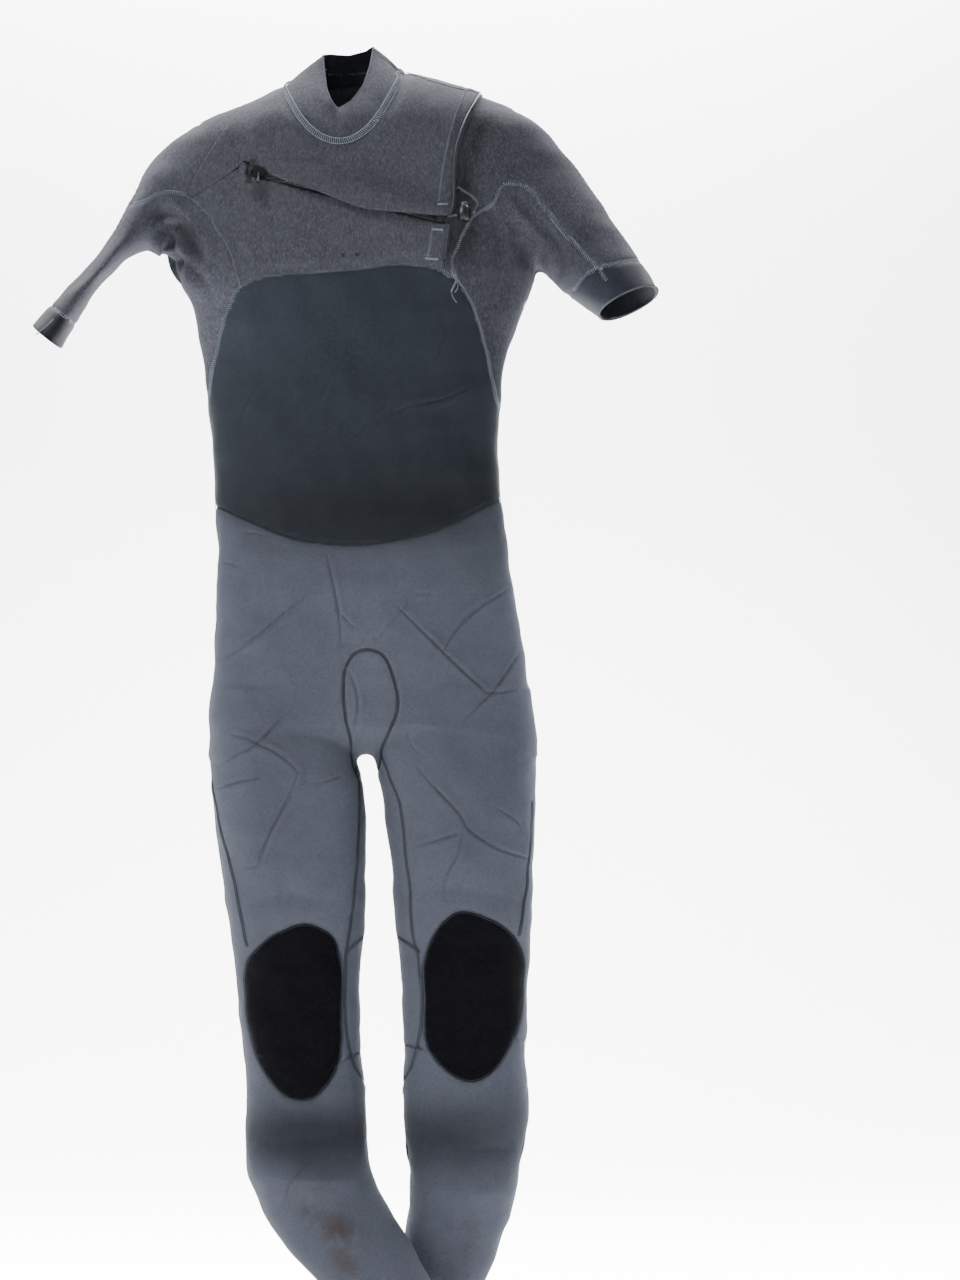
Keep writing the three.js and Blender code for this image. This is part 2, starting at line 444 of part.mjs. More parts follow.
const zipPoint = (u, v, y) => new THREE.Vector3(zA.x, y, zA.z).addScaledVector(zu, u).addScaledVector(zv, v);
// link: a closed oval wire through the bridge
{
  const pts = [], n = 20;
  for (let i = 0; i < n; i++) {
    const t = (2 * Math.PI * (i + 0.5)) / n;
    pts.push([1.65 * spow(Math.cos(t), 0.4), 5.2 * spow(Math.sin(t), 0.4)]);
  }
  const rings = pts.map(([a, b], i) => {
    const q = pts[(i + 1) % n], o = pts[(i + n - 1) % n];
    const tx = q[0] - o[0], ty = q[1] - o[1], l = Math.hypot(tx, ty), nx = ty / l, ny = -tx / l, ring = [];
    for (let k = 0; k < 6; k++) {
      const g = (2 * Math.PI * k) / 6, r = 0.55;
      ring.push(zipPoint(eye.u + r * Math.sin(g), eye.v - 3.9 + b + ny * r * Math.cos(g), eye.y + a + nx * r * Math.cos(g)));
    }
    return ring;
  });
  const P = rings.flat(), f = [];
  for (let i = 0; i < n; i++)
    for (let k = 0; k < 6; k++) {
      const a = i * 6 + k, b = i * 6 + ((k + 1) % 6), c = ((i + 1) % n) * 6 + k, d = ((i + 1) % n) * 6 + ((k + 1) % 6);
      f.push([a, b, d], [a, d, c]);
    }
  parts.pull_link = fromFaces(P, f);
}
const tabEye = zipPoint(eye.u, eye.v - 9.1, eye.y); // the wire of the link's lower end
{
  const s = new THREE.Shape();
  s.moveTo(-2.6, 1.6); s.lineTo(-3.1, -4); s.lineTo(-3.7, -17); s.lineTo(-2.6, -19.5); s.lineTo(2.6, -19.5); s.lineTo(3.7, -17); s.lineTo(3.1, -4); s.lineTo(2.6, 1.6); s.lineTo(1.4, 2.6); s.lineTo(-1.4, 2.6);
  const hole = new THREE.Path();
  hole.absarc(0, 0.35, 1.25, 0, 2 * Math.PI, true);
  s.holes.push(hole);
  const g = new THREE.ExtrudeGeometry(s, { depth: 1.0, bevelEnabled: false, curveSegments: 5 });
  const m = new THREE.Matrix4().makeBasis(new THREE.Vector3(1, 0, 0), new THREE.Vector3(0, 0, 1), new THREE.Vector3(0, -1, 0)).setPosition(tabEye.clone().add(new THREE.Vector3(0, 0.5, -0.95)));
  parts.pull_tab = placed(g, m);
}
parts.zip_garage = zipBox(-13, -5.2, -5.5, 6.0, CHEST_Y - LAYER_OUT - 2.2, CHEST_Y - LAYER_OUT - 0.4);

// ---- draw cord and lock -------------------------------------------------
const lockC = at(464.5, 214, -70.5);
const hx = LOCK.r;
const eyeB = new THREE.Vector3(105.9, -64.5, lockC.z); // where the cord comes back under the flap's edge
const runDir = new THREE.Vector3().subVectors(lockC, eyeB).normalize(), runTurn = Math.atan2(runDir.y, runDir.x);
const runAt = (s, up = 0) => lockC.clone().addScaledVector(runDir, s).add(new THREE.Vector3(0, 0, up));
{
  const prof = [[0, -LOCK.h / 2], [3.4, -LOCK.h / 2], [5.9, -LOCK.h / 2 + 1.6], [7.3, -LOCK.h / 2 + 4.4], [7.6, -1], [7.4, 2.4], [6.6, 5.4], [5.9, 7.2], [5.4, LOCK.h / 2], [0, LOCK.h / 2]];
  const g = new THREE.LatheGeometry(prof.map(([x, y]) => new THREE.Vector2(x, y)), 16);
  const m = new THREE.Matrix4().makeRotationX(Math.PI / 2).setPosition(lockC);
  let s = placed(g, m);
  const bore = placed(new THREE.CylinderGeometry(LOCK.bore, LOCK.bore, 20, 16), new THREE.Matrix4().makeRotationX(Math.PI / 2).setPosition(lockC.x, lockC.y, lockC.z - LOCK.h / 2 + 3 + 10));
  const cross = placed(new THREE.CylinderGeometry(1.65, 1.65, 30, 10), new THREE.Matrix4().makeRotationZ(Math.PI / 2 + runTurn).setPosition(lockC));
  parts.cord_lock_body = s.subtract(bore).subtract(cross);
  const btn = placed(new THREE.CylinderGeometry(LOCK.button, LOCK.button, 13.2, 16), new THREE.Matrix4().makeRotationX(Math.PI / 2).setPosition(lockC.x, lockC.y, lockC.z + 5.8));
  const slot = placed(new THREE.BoxGeometry(30, 3.3, 3.3 + LOCK.travel), new THREE.Matrix4().makeRotationZ(runTurn).setPosition(lockC.x, lockC.y, lockC.z + LOCK.travel / 2));
  parts.cord_lock_button = btn.subtract(slot);
  const coil = [], turns = 2.6, z0 = lockC.z - LOCK.h / 2 + 3.6, z1 = lockC.z - 2.2;
  for (let i = 0; i <= 26; i++) {
    const t = i / 26, a = 2 * Math.PI * turns * t;
    coil.push(new THREE.Vector3(lockC.x + 3.2 * Math.cos(a), lockC.y + 3.2 * Math.sin(a), z0 + (z1 - z0) * t));
  }
  parts.lock_spring = bar(coil, 0.3, 4, 26);
}
const eyeA = at(455.5, 189, CHEST_Y - 4.2);
const CORD = [
  eyeA.clone(), eyeA.clone().add(new THREE.Vector3(3.5, -2.2, 0.8)), at(463.5, 191.0, -67), at(471.5, 196, -71), at(477.2, 204, -73.6),
  runAt(hx + 5.4, 4.6), runAt(hx + 3.0, 0.6), runAt(hx + 1.6), runAt(0), runAt(-hx - 4), runAt(-hx - 8), eyeB.clone(),
];
parts.draw_cord = bar(CORD, CORD_D / 2, 8, 26);
const eyelet = (c) => {
  const g = new THREE.LatheGeometry([[2.0, -0.6], [4.0, -0.6], [3.6, 0.5], [2.2, 0.7]].map(([x, y]) => new THREE.Vector2(x, y)).concat(new THREE.Vector2(2.0, -0.6)), 14);
  return placed(g, new THREE.Matrix4().makeRotationX(Math.PI).setPosition(c));
};
parts.cord_eyelet = eyelet(new THREE.Vector3(eyeA.x, eyeA.y + 1.2, eyeA.z));

// ---- materials and the group --------------------------------------------
const LOOK = {
  jersey: ["#4b4f58", 0.86, 0], chest: ["#4a4e57", 0.86, 0], torso: ["#30363e", 0.7, 0], leg: ["#5a6069", 0.8, 0], knee: ["#1c1e24", 0.72, 0],
  cuff: ["#363e48", 0.8, 0], barrier: ["#24272c", 0.7, 0], binding: ["#3a3f46", 0.5, 0], tape: ["#17191c", 0.9, 0], tooth: ["#1b1c1f", 0.45, 0],
  slider: ["#2a2b2e", 0.4, 0.6], pull: ["#9a9da2", 0.35, 0.9], lock: ["#15161a", 0.35, 0], button: ["#b9bcc0", 0.4, 0], spring: ["#8d9095", 0.35, 1], cord: ["#23252a", 0.8, 0],
};
const USE = {
  collar: "jersey", inner_barrier: "barrier", entry_flap: "chest", lower_chest_panel: "chest", front_torso_panel: "torso", back_torso_panel: "torso",
  flap_edge_binding: "binding", lower_edge_binding: "binding", zip_tape_upper: "tape", zip_tape_lower: "tape", zip_teeth_upper: "tooth", zip_teeth_lower: "tooth",
  zip_end_stop: "tooth", zip_insertion_box: "tooth", zip_slider: "slider", pull_link: "pull", pull_tab: "pull", zip_garage: "chest", cord_lock_body: "lock",
  cord_lock_button: "button", lock_spring: "spring", draw_cord: "cord", cord_eyelet: "lock", back_yoke_panel: "jersey",
};
const useFor = (n) => USE[n] ?? (/knee_panel/.test(n) ? (/behind/.test(n) ? "leg" : "knee") : /cuff/.test(n) ? "cuff" : /(thigh|shin|calf|gusset|inner_leg)/.test(n) ? "leg" : "jersey");
const group = new THREE.Group();
group.name = "full_wetsuit";
let total = 0;
for (const [name, solid] of Object.entries(parts)) {
  const bodies = solid.decompose().sort((a, b) => b.volume() - a.volume()), main = bodies[0];
  if (bodies.length > 1) console.error(name, "had", bodies.length, "bodies", bodies.map((b) => b.volume().toFixed(1)).join(" "));
  const m = main.getMesh(), v = new Float32Array(m.numVert * 3);
  for (let i = 0; i < m.numVert; i++) v.set(m.vertProperties.subarray(i * m.numProp, i * m.numProp + 3), i * 3);
  const g = new THREE.BufferGeometry();
  g.setAttribute("position", new THREE.BufferAttribute(v, 3));
  g.setIndex(new THREE.BufferAttribute(new Uint32Array(m.triVerts), 1));
  g.computeVertexNormals();
  const [color, roughness, metalness] = LOOK[useFor(name)];
  const mesh = new THREE.Mesh(g, new THREE.MeshStandardMaterial({ color, roughness, metalness }));
  mesh.name = name;
  group.add(mesh);
  total += main.numTri();
  nodes.set(name, main);
}
export const info = { zA, zB, zu, zv, ZLEN, SU, eye: zipPoint(eye.u, eye.v, eye.y), tabEye, lockC, eyeA, eyeB, CORD, nodes, total };
export default group;
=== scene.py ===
import math
import bpy
import numpy as np
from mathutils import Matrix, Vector


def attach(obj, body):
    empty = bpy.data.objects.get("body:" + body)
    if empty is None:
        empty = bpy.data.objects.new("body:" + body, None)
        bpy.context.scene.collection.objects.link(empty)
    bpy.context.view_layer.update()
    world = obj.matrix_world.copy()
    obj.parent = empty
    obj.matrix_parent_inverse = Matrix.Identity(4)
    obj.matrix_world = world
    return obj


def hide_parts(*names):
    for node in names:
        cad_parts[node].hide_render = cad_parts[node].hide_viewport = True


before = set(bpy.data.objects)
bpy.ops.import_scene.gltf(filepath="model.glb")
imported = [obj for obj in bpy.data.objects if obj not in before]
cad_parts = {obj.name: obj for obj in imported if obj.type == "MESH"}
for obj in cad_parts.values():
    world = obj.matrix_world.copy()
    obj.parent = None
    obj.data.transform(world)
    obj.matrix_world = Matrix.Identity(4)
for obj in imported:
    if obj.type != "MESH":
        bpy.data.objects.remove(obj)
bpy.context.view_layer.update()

rng = np.random.default_rng(414)

# ---------------------------------------------------------------- layout
U, SIGHT, CX, CY, OX, OZ = 1.15, 1275.0, 480.0, 640.0, 358.0, 95.0
OFFX, OFFZ = (CX - OX) * U, (OZ - CY) * U
SKIN = 3.0


def at(px, py, y=0.0):
    k = U * (SIGHT + y) / SIGHT
    return np.stack(np.broadcast_arrays(OFFX + (px - CX) * k, y, OFFZ - (py - CY) * k), -1)


def lay(P):
    k = U * (SIGHT + P[..., 1]) / SIGHT
    return CX + (P[..., 0] - OFFX) / k, CY + (OFFZ - P[..., 2]) / k


TORSO = [
    [72, 322, 398, 34, 12, 2.2], [84, 290, 440, 42, 8, 2.3], [96, 268, 480, 48, 4, 2.5], [108, 238, 512, 52, 1, 2.8],
    [122, 204, 538, 55, 0, 3.2], [142, 176, 548, 57, 0, 3.6], [170, 166, 552, 58, 0, 4], [205, 164, 550, 58, 0, 4],
    [240, 164, 544, 58, 0, 4], [270, 172, 536, 58, 0, 4], [300, 193, 528, 57, 0, 3.8], [322, 198, 517, 55, 0, 3.5],
    [350, 202, 507, 51, 0, 3.2], [400, 208, 499, 47, 0, 3], [450, 212, 498, 44, 0, 2.9], [500, 215, 501, 43, 0, 2.8],
    [560, 218, 509, 47, 0, 2.8], [610, 217, 516, 51, 0, 2.8], [660, 215, 523, 55, 0, 2.8], [710, 211, 531, 57, 0, 2.8],
    [756, 210, 534, 58, 0, 2.8]]
LEG_R = [
    [690, 216, 345, 48, 0, 2.4], [757, 210, 358, 59, 0, 2.5], [800, 213, 364, 59, 0, 2.5], [850, 218, 366, 55, 0, 2.4],
    [900, 226, 365, 50, 0, 2.4], [950, 234, 363, 45, 0, 2.4], [1000, 238, 360, 42, 0, 2.4], [1045, 243, 362, 41, 0, 2.4],
    [1085, 246, 366, 43, 0, 2.4], [1130, 244, 368, 43, 0, 2.4], [1158, 244, 368, 42, -2, 2.4], [1180, 248, 375, 41, -10, 2.4],
    [1202, 255, 386, 40, -22, 2.4], [1224, 267, 398, 39, -36, 2.4], [1248, 286, 412, 38, -52, 2.4], [1280, 316, 432, 36, -68, 2.4],
    [1312, 343, 447, 34, -80, 2.4], [1345, 363, 459, 33, -88, 2.4], [1380, 382, 472, 33, -97, 2.4]]
LEG_L = [
    [690, 386, 527, 48, 0, 2.4], [757, 372, 534, 59, 0, 2.5], [800, 385, 535, 59, 0, 2.5], [850, 390, 533, 55, 0, 2.4],
    [900, 394, 532, 50, 0, 2.4], [950, 398, 530, 45, 0, 2.4], [1000, 401, 526, 42, 0, 2.4], [1045, 404, 525, 41, 0, 2.4],
    [1085, 401, 528, 43, 0, 2.4], [1130, 405, 527, 43, 0, 2.4], [1158, 408, 523, 42, 1, 2.4], [1185, 410, 517, 41, 6, 2.4],
    [1215, 409, 511, 39, 13, 2.4], [1245, 403, 500, 37, 18, 2.4], [1280, 390, 486, 36, 22, 2.4], [1312, 378, 472, 34, 24, 2.4],
    [1345, 368, 458, 33, 25, 2.4], [1380, 358, 447, 33, 25, 2.4]]
ARM_R = [
    [232, 118, 232, 238, 46, 0, 2.4], [186, 133, 184, 246, 52, 0, 2.4], [156, 156, 156, 248, 57, 0, 2.3], [133, 196, 142, 250, 62, 0, 2.2],
    [110, 242, 122, 260, 66, 0, 2.2], [78, 278, 96, 290, 68, 0, 2.2], [56, 300, 79, 315, 68, 0, 2.2], [33, 325, 62, 348, 66, 0, 2.2],
    [21, 338, 52, 363, 65, 0, 2.2]]
ARM_L = [
    [500, 108, 486, 245, 46, 0, 2.4], [538, 122, 512, 262, 52, 0, 2.4], [562, 150, 532, 268, 56, 0, 2.3], [586, 183, 545, 273, 59, 0, 2.2],
    [612, 221, 560, 288, 61, 0, 2.2], [636, 254, 579, 303, 61, 0, 2.2], [658, 288, 600, 318, 59, 0, 2.2], [670, 306, 612, 332, 59, 0, 2.2]]


def smooth1(v, s):
    k = int(3 * s)
    w = np.exp(-0.5 * (np.arange(-k, k + 1) / s) ** 2)
    w /= w.sum()
    p = np.concatenate([2 * v[0] - v[k:0:-1], v, 2 * v[-1] - v[-2:-k - 2:-1]])
    return np.convolve(p, w, "valid")


def plane(x, y, z):
    """carries a point along its sight line to the pattern plane"""
    g = SIGHT / (SIGHT + y)
    return OFFX + (x - OFFX) * g, OFFZ + (z - OFFZ) * g


def lifted(x, y, z):
    """the point at depth y on the sight line of a point of the pattern plane"""
    g = (SIGHT + y) / SIGHT
    return np.stack(np.broadcast_arrays(OFFX + (x - OFFX) * g, y, OFFZ + (z - OFFZ) * g), -1)


class Level:
    """tube described by level rings"""

    sag = 0.0

    def __init__(self, table):
        r = []
        for py, xl, xr, b, yc, n in table:
            a, c = at(xl, py), at(xr, py)
            r.append([a[2], (a[0] + c[0]) / 2, (c[0] - a[0]) / 2, b, yc, n])
        r = np.array(r)[::-1]
        self.z = np.arange(r[0, 0], r[-1, 0], 2.0)
        self.v = np.stack([smooth1(np.interp(self.z, r[:, 0], r[:, i]), 5.0) for i in range(1, 6)])
        self.lo, self.hi = self.z[0], self.z[-1]

    def ring(self, z):
        return [np.interp(z, self.z, v) for v in self.v]

    def d(self, x, y, z):
        x, z = plane(x, y, z)
        c, a, b, yc, n = self.ring(z)
        u, v = np.abs(x - c) / a + 1e-4, np.abs(y - yc) / b + 1e-4
        un, vn = u ** (n - 1), v ** (n - 1)
        q = un * u + vn * v
        r = q ** (1 / n)
        g = np.sqrt((un / a) ** 2 + (vn / b) ** 2) * r / q
        d = (r - 1) / np.maximum(g, 1e-4)
        return np.maximum(d, np.maximum(z - self.hi, self.lo - z + self.sag * np.minimum(v, 1.2) ** 2))


class Arm:
    """tube described by rings across a sleeve"""

    def __init__(self, table, m=60):
        t = np.array(table, float)
        O, I = at(t[:, 0], t[:, 1]), at(t[:, 2], t[:, 3])
        raw = np.concatenate([O[:, [0, 2]], I[:, [0, 2]], t[:, 4:7]], 1)
        C = (raw[:, :2] + raw[:, 2:4]) / 2
        s = np.concatenate([[0], np.cumsum(np.hypot(*np.diff(C, axis=0).T))])
        q = np.linspace(0, s[-1], m)
        v = np.stack([smooth1(np.interp(q, s, raw[:, i]), 2.2) for i in range(7)], 1)
        self.O, self.I, self.b, self.yc, self.n = v[:, :2], v[:, 2:4], v[:, 4], v[:, 5], v[:, 6]
        self.C = (self.O + self.I) / 2
        D = self.O - self.I
        self.w = np.hypot(*D.T) / 2
        self.D = D / (2 * self.w[:, None])
        self.T = np.stack([-self.D[:, 1], self.D[:, 0]], 1)
        fwd = np.gradient(self.C, axis=0)
        self.T *= np.sign((self.T * fwd).sum(1))[:, None]
        self.step = np.maximum((fwd * self.T).sum(1), 0.5)
        self.m = m
        self.lo = np.minimum(self.O, self.I).min(0) - 45
        self.hi = np.maximum(self.O, self.I).max(0) + 45

    def param(self, x, z):
        P = np.stack([x, z], -1)
        h = P @ self.T.T - (self.C * self.T).sum(1)
        u = P @ self.D.T - (self.C * self.D).sum(1)
        cost = np.abs(h) + 0.6 * np.maximum(np.abs(u) - self.w - 6, 0)
        k = np.argmin(cost, -1)
        hk = np.take_along_axis(h, k[..., None], -1)[..., 0]
        s = k + hk / self.step[k]
        over = np.maximum(s - (self.m - 1), 0) * self.step[-1] + np.maximum(-s, 0) * self.step[0]
        s = np.clip(s, 0, self.m - 1)
        f = lambda v: np.interp(s, np.arange(self.m), v)
        uu = (x - f(self.C[:, 0])) * f(self.D[:, 0]) + (z - f(self.C[:, 1])) * f(self.D[:, 1])
        return s, uu, f(self.w), f(self.b), f(self.yc), f(self.n), over

    def d(self, x, y, z):
        x, z = plane(x, y, z)
        shape = x.shape
        x, y, z = x.ravel(), np.broadcast_to(y, shape).ravel(), z.ravel()
        out = np.full(x.shape, 80.0)
        near_ = np.flatnonzero((x > self.lo[0]) & (x < self.hi[0]) & (z > self.lo[1]) & (z < self.hi[1]) & (np.abs(y) < 120))
        for part in np.array_split(near_, max(1, len(near_) // 120000)):
            if not len(part):
                continue
            s, uu, w, b, yc, n, over = self.param(x[part], z[part])
            u, v = np.abs(uu) / w + 1e-4, np.abs(y[part] - yc) / b + 1e-4
            un, vn = u ** (n - 1), v ** (n - 1)
            q = un * u + vn * v
            r = q ** (1 / n)
            g = np.sqrt((un / w) ** 2 + (vn / b) ** 2) * r / q
            d = (r - 1) / np.maximum(g, 1e-4)
            out[part] = np.where(over > 0, np.maximum(d, over), d)
        return out.reshape(shape)


torso, legr, legl, armr, arml = Level(TORSO), Level(LEG_R), Level(LEG_L), Arm(ARM_R), Arm(ARM_L)
torso.sag = 36.0


def smin(a, b, k):
    h = np.clip(0.5 + 0.5 * (b - a) / k, 0, 1)
    return b * (1 - h) + a * h - k * h * (1 - h)


def body(x, y, z):
    d = torso.d(x, y, z)
    d = smin(d, legr.d(x, y, z), 9)
    d = smin(d, legl.d(x, y, z), 9)
    d = smin(d, armr.d(x, y, z), 10)
    return smin(d, arml.d(x, y, z), 10)


def field(P):
    return body(P[:, 0], P[:, 1], P[:, 2])


def grad(P, e=0.6):
    g = np.stack([field(P + np.eye(3)[i] * e) - field(P - np.eye(3)[i] * e) for i in range(3)], 1) / (2 * e)
    return g / np.maximum(np.linalg.norm(g, axis=1, keepdims=True), 1e-9), np.linalg.norm(g, axis=1)


def settle(P, n=3):
    for _ in range(n):
        g, m = grad(P)
        P = P - g * (field(P) / np.maximum(m, 0.4))[:, None]
    return P


def axis_y(P):
    """middle depth of the tube a point belongs to"""
    x, y, z = P.T
    ds = np.stack([torso.d(x, y, z), legr.d(x, y, z), legl.d(x, y, z)])
    zp_ = plane(x, y, z)[1]
    ys = np.stack([torso.ring(zp_)[3], legr.ring(zp_)[3], legl.ring(zp_)[3]])
    low = z < at(0, 757)[2]
    ds[0][low] = 1e3
    return np.take_along_axis(ys, np.argmin(ds, 0)[None], 0)[0] * low


# ---------------------------------------------------------------- skin mesh
def skin(h):
    lo, hi = np.array([-412.0, -142.0, -1516.0]), np.array([382.0, 80.0, 78.0])
    n = np.ceil((hi - lo) / h).astype(int) + 1
    ax = [lo[i] + h * np.arange(n[i]) for i in range(3)]
    X, Y, Z = np.meshgrid(*ax, indexing="ij")
    f = body(X, Y, Z)
    s = f < 0
    c = [(i, j, k) for i in (0, 1) for j in (0, 1) for k in (0, 1)]
    cut = lambda a, i, j, k: a[i:n[0] - 1 + i, j:n[1] - 1 + j, k:n[2] - 1 + k]
    cnt = sum(cut(s, *q).astype(np.int8) for q in c)
    cells = np.argwhere((cnt > 0) & (cnt < 8))
    idx = -np.ones(tuple(n - 1), int)
    idx[tuple(cells.T)] = np.arange(len(cells))
    acc, num = np.zeros((len(cells), 3)), np.zeros(len(cells))
    for a in c:
        for ax_ in range(3):
            if a[ax_]:
                continue
            b = list(a)
            b[ax_] = 1
            fa, fb = f[tuple((cells + a).T)], f[tuple((cells + b).T)]
            m = (fa < 0) != (fb < 0)
            t = np.where(m, fa / np.where(fa == fb, 1, fa - fb), 0)
            p = np.array(a, float)[None] + np.zeros((len(cells), 3))
            p[:, ax_] = t
            acc[m] += p[m]
            num[m] += 1
    V = lo + h * (cells + acc / num[:, None])
    quads = []
    for ax_ in range(3):
        e = [0, 0, 0]
        e[ax_] = 1
        a0, b0 = s[: n[0] - e[0], : n[1] - e[1], : n[2] - e[2]], s[e[0]:, e[1]:, e[2]:]
        E = np.argwhere(a0 != b0)
        o1, o2 = [(0, 1, 0), (0, 0, 1)] if ax_ == 0 else [(0, 0, 1), (1, 0, 0)] if ax_ == 1 else [(1, 0, 0), (0, 1, 0)]
        o1, o2 = np.array(o1), np.array(o2)
        ok = np.all((E - o1 - o2 >= 0) & (E < n - 1), axis=1)
        E = E[ok]
        q = np.stack([idx[tuple((E - o1 - o2).T)], idx[tuple((E - o2).T)], idx[tuple(E.T)], idx[tuple((E - o1).T)]], 1)
        inside = s[tuple(E.T)]
        q[~inside] = q[~inside][:, ::-1]
        quads.append(q)
    Q = np.concatenate(quads)
    Q = Q[(Q >= 0).all(1)]
    return V, Q


def tris(Q, V):
    a = np.linalg.norm(V[Q[:, 0]] - V[Q[:, 2]], axis=1) < np.linalg.norm(V[Q[:, 1]] - V[Q[:, 3]], axis=1)
    return np.concatenate([Q[a][:, [0, 1, 2]], Q[a][:, [0, 2, 3]], Q[~a][:, [0, 1, 3]], Q[~a][:, [1, 2, 3]]])


def subdivide(V, T):
    E = np.sort(np.concatenate([T[:, [0, 1]], T[:, [1, 2]], T[:, [2, 0]]]), 1)
    key, inv = np.unique(E[:, 0].astype(np.int64) * len(V) + E[:, 1], return_inverse=True)
    M = (V[key // len(V)] + V[key % len(V)]) / 2
    m = inv.reshape(3, -1) + len(V)
    a, b, c = T.T
    T2 = np.concatenate([np.stack(t, 1) for t in ([a, m[0], m[2]], [m[0], b, m[1]], [m[2], m[1], c], [m[0], m[1], m[2]])])
    return np.concatenate([V, M]), T2


def spline(pts, closed=False, per=8):
    P = np.array(pts, float)
    n = len(P)
    out = []
    for i in range(n if closed else n - 1):
        g = lambda j: P[j % n] if closed else P[min(max(j, 0), n - 1)]
        a, b, c, d = g(i - 1), g(i), g(i + 1), g(i + 2)
        t = np.arange(per)[:, None] / per
        out.append(0.5 * (2 * b + (c - a) * t + (2 * a - 5 * b + 4 * c - d) * t ** 2 + (3 * b - a - 3 * c + d) * t ** 3))
    if not closed:
        out.append(P[-1:])
    return np.concatenate(out)


def near(px, py, line, closed=False):
    """signed distance to a line in the layout, how far along it, and whether the nearest point is an end"""
    A = line
    B = np.roll(line, -1, 0) if closed else line[1:]
    A = A if closed else A[:-1]
    L = np.hypot(*(B - A).T)
    S = np.concatenate([[0], np.cumsum(L)])
    best = np.full(px.shape, 1e9)
    sign, along, end = np.ones(px.shape), np.zeros(px.shape), np.zeros(px.shape, bool)
    for i in range(len(A)):
        dx, dy = px - A[i, 0], py - A[i, 1]
        ex, ey = (B[i] - A[i]) / max(L[i], 1e-9)
        t = dx * ex + dy * ey
        tc = np.clip(t, 0, L[i])
        d = np.hypot(dx - tc * ex, dy - tc * ey)
        m = d < best - 1e-7
        best[m] = d[m]
        sign[m] = np.where(dx * ey - dy * ex > 0, 1, -1)[m]
        along[m] = (S[i] + tc)[m]
        if not closed:
            end[m] = ((i == 0) & (t < 0) | (i == len(A) - 1) & (t > L[i]))[m]
    return best * sign, along, end


FRONT, BACK, BOTH = -1, 1, 0
SEAMS = {
    "chest": ([[192, 412], [207, 397], [210, 375], [218, 340], [228, 310], [240, 287], [270, 275], [345, 270], [400, 263], [430, 265], [450, 275], [460, 283], [475, 310], [485, 345], [493, 385], [500, 408], [516, 416]], FRONT, False),
    "waist": ([[200, 502], [218, 508], [250, 522], [290, 538], [320, 543], [360, 545], [410, 538], [450, 525], [500, 500], [516, 494]], BOTH, False),
    "armR": ([[78, 230], [112, 213], [128, 205], [145, 199], [160, 193], [185, 195], [205, 210], [220, 232], [232, 255], [241, 289]], FRONT, False),
    "ridgeR": ([[185, 199], [193, 180], [202, 164], [217, 140], [241, 108], [262, 88], [275, 70]], FRONT, False),
    "armL": ([[462, 286], [452, 265], [458, 245], [470, 220], [485, 208], [495, 200], [500, 188], [511, 183], [530, 190], [550, 215], [575, 245], [598, 268], [606, 282]], FRONT, False),
    "barrier": ([[473, 72], [467, 95], [453, 120], [443, 150], [439, 190], [430, 222], [419, 268]], FRONT, False),
    "cuffR": ([[8, 276], [36, 294], [56, 309], [72, 322], [92, 336], [124, 360]], BOTH, False),
    "cuffL": ([[546, 322], [560, 303], [573, 291], [582, 279], [597, 269], [625, 262], [640, 261], [662, 256], [684, 250]], BOTH, False),
    "sleeveBackR": ([[204, 96], [196, 150], [190, 200], [184, 262], [182, 300]], BACK, False),
    "sleeveBackL": ([[516, 92], [516, 150], [512, 200], [516, 262], [526, 306], [548, 345]], BACK, False),
    "yoke": ([[183, 224], [240, 250], [300, 262], [355, 266], [410, 262], [470, 250], [517, 231]], BACK, False),
    "seat": ([[352, 528], [360, 600], [367, 664]], BACK, False),
    "gusset": ([[345, 668], [355, 653], [370, 650], [385, 658], [396, 688], [397, 710], [389, 732], [380, 752], [376, 772], [366, 782], [356, 772], [352, 748], [346, 720], [343, 692]], BOTH, True),
    "innerL": ([[378, 753], [388, 775], [400, 810], [408, 870], [412, 930], [419, 962], [421, 1010], [418, 1040], [408, 1070], [394, 1092]], BOTH, False),
    "innerR": ([[357, 756], [358, 775], [360, 810], [357, 870], [350, 930], [346, 962], [346, 1010], [349, 1040], [356, 1066], [376, 1094]], BOTH, False),
    "kneeR": ([[262, 944], [280, 932], [305, 924], [332, 936], [341, 962], [342, 1020], [342, 1045], [334, 1076], [310, 1100], [281, 1094], [257, 1060], [245, 1000], [245, 965]], FRONT, True),
    "kneeL": ([[424.5, 962], [434, 935], [455, 913], [480, 915], [508, 930], [524, 957], [523, 1000], [515, 1035], [498, 1067], [475, 1082], [450, 1074], [426, 1045], [424.5, 1000]], FRONT, True),
    "shinR": ([[226, 1090], [248, 1062], [262, 1057]], FRONT, False),
    "shinR2": ([[322, 1080], [345, 1060], [366, 1051]], FRONT, False),
    "shinL": ([[544, 1066], [524, 1042], [508, 1038]], FRONT, False),
    "shinL2": ([[452, 1066], [424, 1050], [400, 1045]], FRONT, False),
    "backKneeTop": ([[205, 975], [300, 968], [370, 975], [382, 975], [460, 968], [550, 975]], BACK, False),
    "backKneeLow": ([[205, 1082], [300, 1090], [370, 1082], [382, 1082], [460, 1090], [550, 1082]], BACK, False),
}
LINES = {k: (spline(v[0], v[2]), v[1], v[2]) for k, v in SEAMS.items()}

